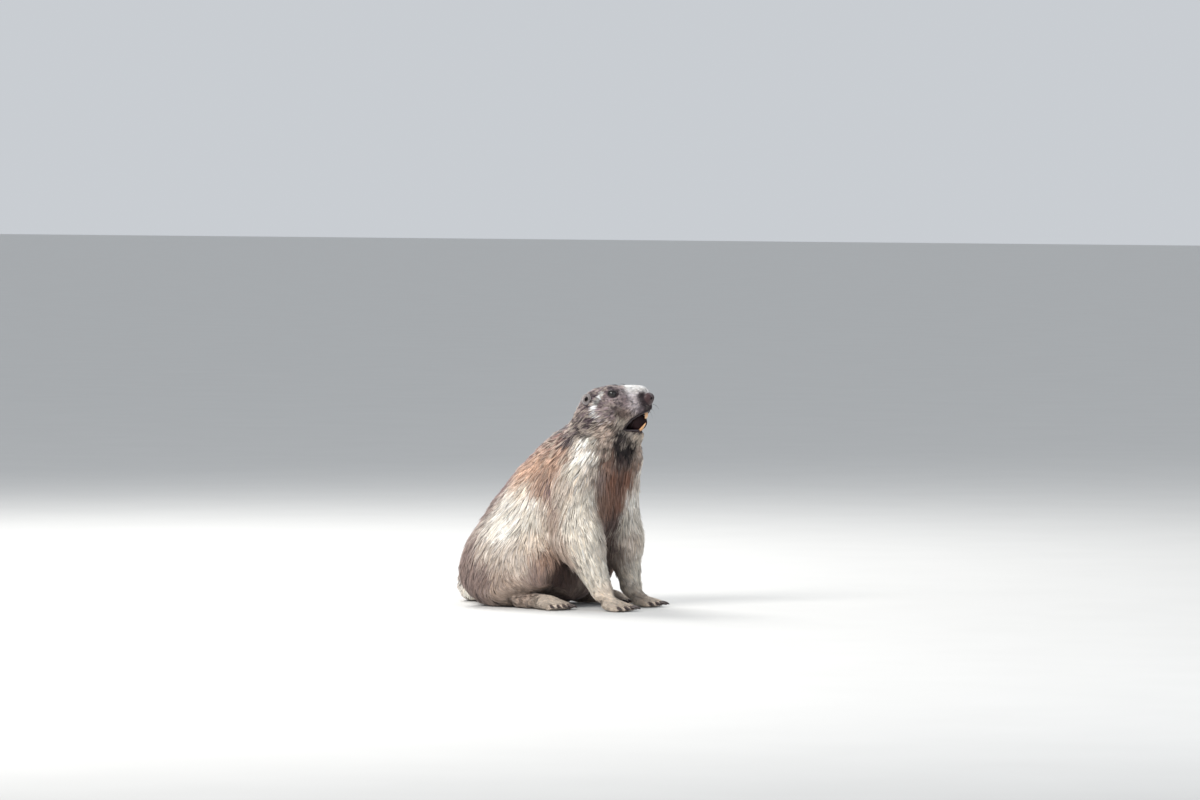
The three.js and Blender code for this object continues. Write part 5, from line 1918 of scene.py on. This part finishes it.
@dataclass
class Ear:
    """A low round furred cup behind the eye, open outwards."""

    side: int
    wide: float = 4.6
    high: float = 5.9
    sides: int = 40
    tufts: int = 1300

    def frame(self) -> tuple[np.ndarray, np.ndarray]:
        """Where the ear is and how it is turned.

        Returns:
            Its middle, and the matrix whose columns are its level, upright and outward directions.
        """
        out = unit(mirrored(EAR_OUT, self.side))
        lean = np.array([0.3, 0.0, 1.0])
        level = unit(np.cross(lean, out))
        return mirrored(EAR_AT, self.side), np.stack([level, np.cross(out, level), out], axis=1)

    def cup(self) -> Net:
        """The cup with its rolled rim and its hollow, and a fold at the lower front.

        Returns:
            The cup.
        """
        rim = [(0.3, -10), (6.2, -9), (9.0, -4), (9.9, 0.0), (9.4, 1.5)]
        rim += [(8.3, 1.0), (7.0, -3.2), (4.0, -6), (0.2, -6.6)]
        angle = 2 * np.pi * np.arange(self.sides) / self.sides
        rows = []
        for radius, z in rim:
            fold = 1.0 - 0.16 * np.exp(-((np.angle(np.exp(1j * (angle - 3.9))) / 0.5) ** 2))
            round_ = radius / 10.0 * fold
            across, upright = self.wide * round_ * np.cos(angle), self.high * round_ * np.sin(angle)
            rows.append(np.stack([across, upright, z + 0 * angle], axis=1))
        points = np.concatenate(rows)
        faces = []
        for i in range(len(rim) - 1):
            here, there = i * self.sides, (i + 1) * self.sides
            for s in range(self.sides):
                t = (s + 1) % self.sides
                faces.append([here + s, here + t, there + t, there + s])
        at, matrix = self.frame()
        return Net(points @ matrix.T + at, np.array(faces)).placed()

    def fringe(self, rng: np.random.Generator) -> tuple[Tufts, np.ndarray]:
        """Short hair on the back of the cup, round its rim and a little inside it.

        Args:
            rng: The source of all chance.

        Returns:
            The hair, and its places on the ear laid flat.
        """
        at, matrix = self.frame()
        count = self.tufts // 1
        angle = rng.uniform(0, 2 * np.pi, count)
        height = rng.uniform(0.0, 1.0, count) ** 0.7
        radius = np.interp(height, [0.0, 0.4, 0.75, 1.0], [7.2, 9.2, 9.8, 8.2])
        z = np.interp(height, [0.0, 0.4, 0.75, 1.0], [-8.0, -4.0, 0.3, 0.9])
        flat = np.stack([np.cos(angle), np.sin(angle)], axis=1)
        oval = np.array([self.wide, self.high]) / 10 * radius[:, None] * flat
        root = np.concatenate([oval, z[:, None]], axis=1)
        outward = np.concatenate([flat, np.zeros((count, 1))], axis=1)
        inner = height > 0.82
        back = np.array([0.5 * self.side, 0.0, 0.45])
        way = unit(outward * np.where(inner, -0.3, 0.6)[:, None] + back + rng.normal(0, 0.2, (count, 3)))
        long = np.where(inner, rng.uniform(1.2, 2.2, count), rng.uniform(2.0, 3.6, count))
        half, end = root + way * (long * 0.55)[:, None], root + way * long[:, None]
        end = end + outward * np.where(inner, -0.8, -0.4)[:, None]
        steps = np.stack([root - way * 0.5, half, end], axis=1)
        paths = HEAD.body((steps.reshape(-1, 3) @ matrix.T + at)).reshape(steps.shape)
        facing = unit(outward * (1.3 - height)[:, None] + np.array([0.0, 0.0, 1.0]) * height[:, None])
        up = HEAD.spread(facing @ matrix.T)
        pale = linear(0xE2DBD8) * rng.uniform(0.75, 1.15, (count, 1))
        dark = linear(0x8C7E7D) * rng.uniform(0.7, 1.2, (count, 1))
        share = np.where(inner, 0.3, np.clip(0.55 + 0.5 * height, 0, 1))[:, None]
        colour = pale * share + dark * (1 - share)
        ups, wide = np.repeat(up[:, None], 3, axis=1), rng.uniform(0.5, 0.9, count)
        tufts = Tufts(paths, ups, wide, colour * 0.75, colour, colour * 1.1)
        return tufts, np.stack([0.005 + 0.98 * angle / (2 * np.pi), 0.005 + 0.98 * height], axis=1)

    def dress(self, wardrobe: Wardrobe, rng: np.random.Generator) -> None:
        """Makes the cup and its hair.

        Args:
            wardrobe: The finishes.
            rng: The source of all chance.
        """
        side = "right" if self.side < 0 else "left"
        net = self.cup()
        # Pale on the back and rim of the cup, near-black down in its hollow: the hollow's dark is painted
        # shade.
        rows = np.arange(len(net.points)) // self.sides
        share = np.interp(rows, [0, 3, 5, 6, 8], [0.8, 1.0, 0.8, 0.2, 0.1])[:, None]
        colours = linear(0xB0A8A6) * share + linear(0x2E2224) * (1 - share)
        cup = Piece(f"ear_cup_{side}", "fur_ear", (f"ear_{side}",))
        build(cup, net, wardrobe.of(Finishes.LIP), colours)
        tufts, spots = self.fringe(rng)
        hair, colours, normals, patch = tufts.net()
        made = build(Piece(f"coat_ear_{side}", "fur_ear"), hair, wardrobe.of(Finishes.FINE_FUR), colours)
        lay_out(made, hair, normals, spots, patch)


@dataclass
class Nose:
    """The bare nose with its two nostrils and the groove between them."""

    step: float = 0.45
    nostril: Vec = (56.4, 5.2, 14.6)
    wing: Vec = (52.4, 6.2, 15.2)
    wing_radii: Vec = (4.6, 4.3, 5.2)
    turn: float = 24.0

    def distance(self, p: np.ndarray) -> np.ndarray:
        """Distance outside the nose, in the head's own frame.

        Args:
            p: Places, one a row.

        Returns:
            Millimetres outside it, and negative inside.
        """
        pad = Egg(NOSE_AT, NOSE_RADII).distance(p)
        wings = [Egg(tuple(mirrored(self.wing, s)), self.wing_radii).distance(p) for s in SIDES]
        made = blended([pad, *wings], 3.0)
        for s in SIDES:
            q = p - mirrored(self.nostril, s)
            c, n = math.cos(math.radians(self.turn)), math.sin(math.radians(self.turn)) * s
            q = np.stack([c * q[:, 0] - n * q[:, 1], n * q[:, 0] + c * q[:, 1], q[:, 2]], axis=1)
            curl = q[:, 2] + 0.12 * q[:, 1] * q[:, 1] * 0.5
            ball = np.stack([q[:, 0] / 4.6, q[:, 1] / 2.5, (curl + 0.2 * q[:, 1] * s) / 1.75], axis=1)
            hole = np.linalg.norm(ball, axis=1)
            made = np.maximum(made, (1.0 - hole) * 1.75)
        groove = np.hypot(p[:, 1] * 1.6, np.maximum(p[:, 2] - 16.0, 0.0) * 0.3)
        ahead = smooth(50.0, 54.0, p[:, 0])
        return made + ahead * 0.9 * np.clip(1.0 - groove, 0.0, 1.0)

    def dress(self, wardrobe: Wardrobe) -> None:
        """Makes the nose.

        Args:
            wardrobe: The finishes.
        """
        net = net_surface(self.distance, (33.0, -14.0, 0.0), (60.5, 14.0, 26.0), self.step)
        q = net.points
        colours = np.repeat(linear(0x3A2426)[None], len(q), axis=0)
        # Near-black round each nostril: painted shade in the holes.
        for s in SIDES:
            far = np.linalg.norm((q - mirrored(self.nostril, s)) / [5.0, 2.9, 2.2], axis=1)
            share = 1.0 - smooth(0.75, 1.25, far)
            colours = colours * (1 - share[:, None]) + linear(0x140D10) * share[:, None]
        # Lighter towards the top of the nose: a painted highlight.
        top = smooth(17.0, 22.0, q[:, 2])[:, None]
        colours = colours * (1 - 0.3 * top) + linear(0x7A6668) * 0.3 * top
        build(Piece("nose_pad", "nose_skin", ("nose",)), net.placed(), wardrobe.of(Finishes.NOSE), colours)


@dataclass
class Mouth:
    """The lips round the open mouth, the tongue and the four incisors."""

    lip: float = 1.0
    aside: float = 48.0  # from the head's middle to well outside the cheek
    tongue_at: Vec = (34.8, 0.0, -17.6)
    tongue_radii: Vec = (14.6, 8.6, 12.0)
    upper: tuple[Vec, Vec, Vec] = ((44.5, 2.45, 0.6), (49.6, 2.45, -4), (47.6, 2.3, -13))
    lower: tuple[Vec, Vec, Vec] = ((34, 2.4, -32.0), (42, 2.4, -29.0), (48, 2.3, -18.8))
    tooth_wide: float = 2.4
    tooth_thick: float = 1.9

    @staticmethod
    def last_inside(walk: Callable[[float], np.ndarray]) -> float:
        """How far a walk stays under the skin.

        Args:
            walk: Gives a place in the head's own frame for a share of the way.

        Returns:
            The last share that is still under the skin.
        """
        low, high = 0.0, 1.0
        for _ in range(18):
            half = (low + high) / 2
            p = HEAD.body(np.array([walk(half)]))
            deep = FORM.outline(p) + skin_depth(COAT.at(p).deep)
            low, high = (half, high) if deep[0] < 0 else (low, half)
        return low

    def lip_net(self, edge: list[tuple[float, float]], count: int = 16) -> Net:
        """A lip that follows the skin along an edge of the mouth, from corner to corner.

        Args:
            edge: The corners of the edge, forwards and up in the head's own frame.
            count: Places from the front to a corner.

        Returns:
            The lip.
        """
        line = np.array(edge, float)
        reach = np.append(0.0, np.cumsum(np.linalg.norm(np.diff(line, axis=0), axis=1)))

        def spot(share: float) -> np.ndarray:
            """The point of the edge at a share of its length, in the middle of the head."""
            at = share * reach[-1]
            return np.array([np.interp(at, reach, line[:, 0]), 0.0, np.interp(at, reach, line[:, 1])])

        front = self.last_inside(spot)
        half = []
        for k in range(count):
            at = spot(front * math.sin(math.pi / 2 * k / count))
            far = self.last_inside(lambda s, at=at: at + np.array([0.0, self.aside * s, 0.0]))
            half.append(at + np.array([0.0, self.aside * far, 0.0]))
        flip = np.array([1.0, -1.0, 1.0])
        path = np.array([h * flip for h in half] + [spot(front)] + half[::-1])
        share = np.abs(np.linspace(-1, 1, len(path)))
        size = self.lip * (1.0 - 0.5 * smooth(0.75, 1.0, share))
        across = np.tile([0.0, 0.0, 1.0], (len(path), 1))
        return net_tube(path, across, np.stack([size, size], axis=1), 8).placed()

    def tooth(self, curve: tuple[Vec, Vec, Vec], side: int) -> tuple[Net, np.ndarray]:
        """An incisor that narrows to a chisel's edge, and its colours.

        Args:
            curve: Root, middle and tip of its bend.
            side: 1 for the left, and -1 for the right.

        Returns:
            The tooth, and a colour for each point.
        """
        a, b, c = (np.array(p) * np.array([1.0, side, 1.0]) for p in curve)
        t = np.linspace(0, 1, 14)[:, None]
        path = (1 - t) ** 2 * a + 2 * t * (1 - t) * b + t**2 * c
        t = t[:, 0]
        wide, thick = self.tooth_wide * (1 - 0.1 * t), self.tooth_thick * (1 - 0.2 * t - 0.6 * t**6)
        sizes = np.stack([wide, thick], axis=1)
        net = net_tube(path, np.tile([0.0, 1.0, 0.0], (len(path), 1)), sizes, 12)
        along = np.clip(np.append(np.repeat(t, 12), [0.0, 1.0]), 0, 1)[:, None]
        colours = linear(0xA8703F) * (1 - along) + linear(0xDDB083) * along
        return net.placed(), colours

    def dress(self, wardrobe: Wardrobe) -> None:
        """Makes the lips, the tongue and the teeth.

        Args:
            wardrobe: The finishes.
        """
        corner_up = [(22.5, -27.0), *UPPER_LIP[1:]]
        for name, edge in (("upper", corner_up), ("lower", [(22.5, -27.6), (28.0, -28.5), (76.0, -28.5)])):
            net = self.lip_net(edge)
            lip = Piece(f"lip_{name}", "nose_skin")
            build(lip, net, wardrobe.of(Finishes.LIP), flat_colours(net, Shade.LIP))
        tongue = net_ball(self.tongue_at, self.tongue_radii)
        tongue.points[:, 1] *= 1.0 - 0.78 * smooth(36.0, 46.0, tongue.points[:, 0])
        # The tongue takes the near-black painted shadow of the open mouth instead of its own colour, so it
        # fills the mouth as a dark mass.
        dark = flat_colours(tongue, Shade.MOUTH_SHADOW)
        piece = Piece("tongue_tip", "tongue_skin", ("tongue",))
        build(piece, tongue.placed(), wardrobe.of(Finishes.TONGUE), dark)
        for row, curve in (("upper", self.upper), ("lower", self.lower)):
            for side, word in ((-1, "right"), (1, "left")):
                net, colours = self.tooth(curve, side)
                piece = Piece(f"tooth_{row}_{word}", "tooth", (f"incisor_{row}_{word}",))
                build(piece, net, wardrobe.of(Finishes.TOOTH), colours)


@dataclass
class Whiskers:
    """Stiff dark hairs on the muzzle, over the eyes and on the cheeks."""

    rows: tuple[tuple[Vec, Vec, float, int], ...] = (
        ((45, 14.5, 7), (0.75, 0.75, 0.1), 38, 5),
        ((43, 15.5, 2), (0.55, 0.85, -0.2), 42, 6),
        ((40, 16.0, -2.5), (0.3, 0.85, -0.5), 34, 5),
        ((12, 20, 32), (-0.85, 0.4, 0.3), 9, 2),
        ((2, 36, -8), (-0.5, 0.8, -0.4), 20, 2),
    )
    thick: float = 0.32

    def dress(self, wardrobe: Wardrobe, rng: np.random.Generator) -> None:
        """Makes all of them as one piece.

        Args:
            wardrobe: The finishes.
            rng: The source of all chance.
        """
        nets = []
        for at, way, long, count in self.rows:
            for side in SIDES:
                flip = np.array([1.0, side, 1.0])
                for k in range(count):
                    start = np.array(at) + np.array([-2.6 * k + rng.normal(0, 0.5), 0, rng.normal(0, 0.7)])
                    out = unit(np.array(way) + np.array([-0.16 * k, 0, 0]) + rng.normal(0, 0.1, 3))
                    reach = long * rng.uniform(0.7, 1.1)
                    t = np.linspace(0, 1, 9)[:, None]
                    bend = np.array([-0.35, 0.0, -0.3]) * reach * t**2 * rng.uniform(0.5, 1.0)
                    path = (start - out * 3.0 + out * reach * t + bend) * flip
                    size = self.thick * (1.0 - 0.85 * t)
                    across = np.tile([0.3, 0.2, 1.0], (9, 1))
                    nets.append(net_tube(path, across, np.repeat(size, 2, axis=1), 4))
        net = nets[0].joined(*nets[1:]).placed()
        colours = np.repeat(linear(0x1E181A)[None], len(net.points), axis=0)
        build(Piece("whiskers", "fur_head"), net, wardrobe.of(Finishes.WHISKER), colours)


@dataclass
class Claws:
    """A curved claw on every digit."""

    def net(self, digits: Digits, rows: list[tuple[Vec, Vec, float]]) -> Net:
        """The claws of one foot.

        Args:
            digits: The sizes of its digits.
            rows: Root, tip and direction of each.

        Returns:
            The claws as one net.
        """
        nets = []
        for _, tip, turn in rows:
            along = np.array([math.cos(turn), math.sin(turn), 0.0])
            t = np.linspace(-0.25, 0.995, 10)
            fall = 1.6 - 2.6 * t**2
            path = np.array(tip) + along * (2 + t * digits.claw_long)[:, None]
            path = path + np.array([0, 0, 1.0]) * fall[:, None]
            taper = np.sqrt(np.clip(1.0 - np.maximum(t, 0.0) ** 1.8, 0.0, 1.0))
            sizes = np.stack([digits.claw_thick * 0.85 * taper, digits.claw_thick * 1.15 * taper], axis=1)
            across = np.tile([-along[1], along[0], 0.0], (len(t), 1))
            nets.append(net_tube(path, across, np.maximum(sizes, 0.12), 10))
        return nets[0].joined(*nets[1:])

    def dress(self, wardrobe: Wardrobe) -> None:
        """Makes one piece of claws for each foot.

        Args:
            wardrobe: The finishes.
        """
        for leg in (*FORELEGS, *HINDLEGS):
            fore = leg in FORELEGS
            rows = forepaw_rows(leg) if fore else hindfoot_rows(leg)
            net = self.net(FOREPAW if fore else HINDFOOT, rows)
            net.points[:, 2] = np.maximum(net.points[:, 2], 0.3)
            word = ("fore" if fore else "hind") + ("_right" if leg.side < 0 else "_left")
            low = net.points[:, 2].min()
            share = np.clip((net.points[:, 2] - low) / 6.0, 0, 1)[:, None]
            colours = linear(0x4A3C38) * share + linear(0x2A2122) * (1 - share)
            build(Piece(f"claws_{word}", "fur_foot"), net, wardrobe.of(Finishes.HORN), colours)


# The studio


@dataclass
class Studio:
    """A pale floor, soft lights and the camera, at the angle and with the framing of the photograph."""

    azimuth: float = 36.0
    elevation: float = 2.0
    away: float = 10.0
    view: Vec = (0.106, 0.0, 0.2754)  # right, away and up of the picture's middle, in metres
    across: float = 1.62
    key: float = 92.0
    fill: float = 17.0
    back: float = 62.0
    sky: float = 0.68
    lit: Vec = (0.03, 0.0, 0.16)  # where the lights look

    def axes(self) -> tuple[Vector, Vector, Vector]:
        """The camera's directions.

        Returns:
            Right, up and backward.
        """
        a, e = math.radians(self.azimuth), math.radians(self.elevation)
        back = Vector((math.sin(a) * math.cos(e), -math.cos(a) * math.cos(e), math.sin(e)))
        right = Vector((math.cos(a), math.sin(a), 0.0))
        return right, back.cross(right), back

    def camera(self) -> None:
        """Makes the camera."""
        right, up, back = self.axes()
        data = bpy.data.cameras.new("camera")
        data.sensor_width = 36.0
        data.lens = 36.0 * self.away / self.across
        data.clip_end = 100.0
        made = bpy.data.objects.new("camera", data)
        aim = right * self.view[0] + up * self.view[2]
        turn = Matrix((right, up, back)).transposed().to_4x4()
        made.matrix_world = Matrix.Translation(aim + back * self.away) @ turn
        bpy.context.scene.collection.objects.link(made)
        bpy.context.scene.camera = made

    def light(self, name: str, at: Vector, power: float, size: float, colour: Rgb) -> None:
        """Makes one soft light that looks at the animal.

        Args:
            name: What it is called.
            at: Its middle, in metres.
            power: Its power in watts.
            size: The side of its square, in metres.
            colour: Its linear colour.
        """
        data = bpy.data.lights.new(name, "AREA")
        data.energy, data.size, data.color = power, size, colour
        made = bpy.data.objects.new(name, data)
        made.location = at
        aim = Vector(self.lit) - at
        made.rotation_euler = aim.to_track_quat("-Z", "Y").to_euler()
        bpy.context.scene.collection.objects.link(made)

    def floor(self) -> None:
        """Makes the floor and the pale surroundings."""
        mesh = bpy.data.meshes.new("floor")
        half = 30.0
        corners = [(-half, -half, 0.0), (half, -half, 0.0), (half, half, 0.0), (-half, half, 0.0)]
        mesh.from_pydata(corners, [], [(0, 1, 2, 3)])
        material = bpy.data.materials.new("floor_pale")
        material.use_nodes = True
        bench = Bench(material.node_tree)
        shader = material.node_tree.nodes["Principled BSDF"]
        shader.inputs["Roughness"].default_value = 0.8
        spots = bench.add("ShaderNodeTexNoise", Scale=6.0, Detail=3.0)
        ramp = bench.add("ShaderNodeValToRGB")
        ramp.color_ramp.elements[0].color = (0.60, 0.60, 0.59, 1.0)
        ramp.color_ramp.elements[1].color = (0.64, 0.64, 0.63, 1.0)
        place = bench.add("ShaderNodeTexCoord")
        bench.link(place.outputs["Object"], spots.inputs["Vector"])
        bench.link(spots.outputs["Fac"], ramp.inputs["Fac"])
        bench.link(ramp.outputs["Color"], shader.inputs["Base Color"])
        mesh.materials.append(material)
        made = bpy.data.objects.new("floor", mesh)
        bpy.context.scene.collection.objects.link(made)
        world = bpy.data.worlds.new("surroundings")
        world.use_nodes = True
        sky = world.node_tree.nodes["Background"]
        sky.inputs["Color"].default_value = (0.86, 0.90, 0.95, 1.0)
        sky.inputs["Strength"].default_value = self.sky
        bpy.context.scene.world = world

    def set_up(self) -> None:
        """Makes floor, lights and camera."""
        right, _, back = self.axes()
        up = Vector((0.0, 0.0, 1.0))
        self.floor()
        self.light("key", back * 1.9 - right * 1.7 + up * 2.0, self.key, 1.3, (1.0, 0.97, 0.93))
        self.light("fill", back * 2.2 + right * 2.0 + up * 0.9, self.fill, 2.0, (0.93, 0.96, 1.0))
        self.light("back", back * -1.6 - right * 0.8 + up * 2.2, self.back, 1.2, (1.0, 0.98, 0.95))
        self.camera()
        bpy.context.scene.view_settings.view_transform = "Standard"


def main() -> None:
    """Builds the animal piece by piece, then the studio."""
    logging.basicConfig(level=logging.INFO, format="%(name)s %(message)s")
    wardrobe = Wardrobe()
    rng = np.random.default_rng(5)
    skin = Skin()
    net = skin.shape()
    skin.dress(wardrobe)
    Nose().dress(wardrobe)
    Mouth().dress(wardrobe)
    for side in SIDES:
        Eye(side).dress(wardrobe)
        Ear(side).dress(wardrobe, rng)
    Whiskers().dress(wardrobe, rng)
    Claws().dress(wardrobe)
    Fur().dress(net, wardrobe)
    Studio().set_up()


if __name__ == "__main__":
    main()
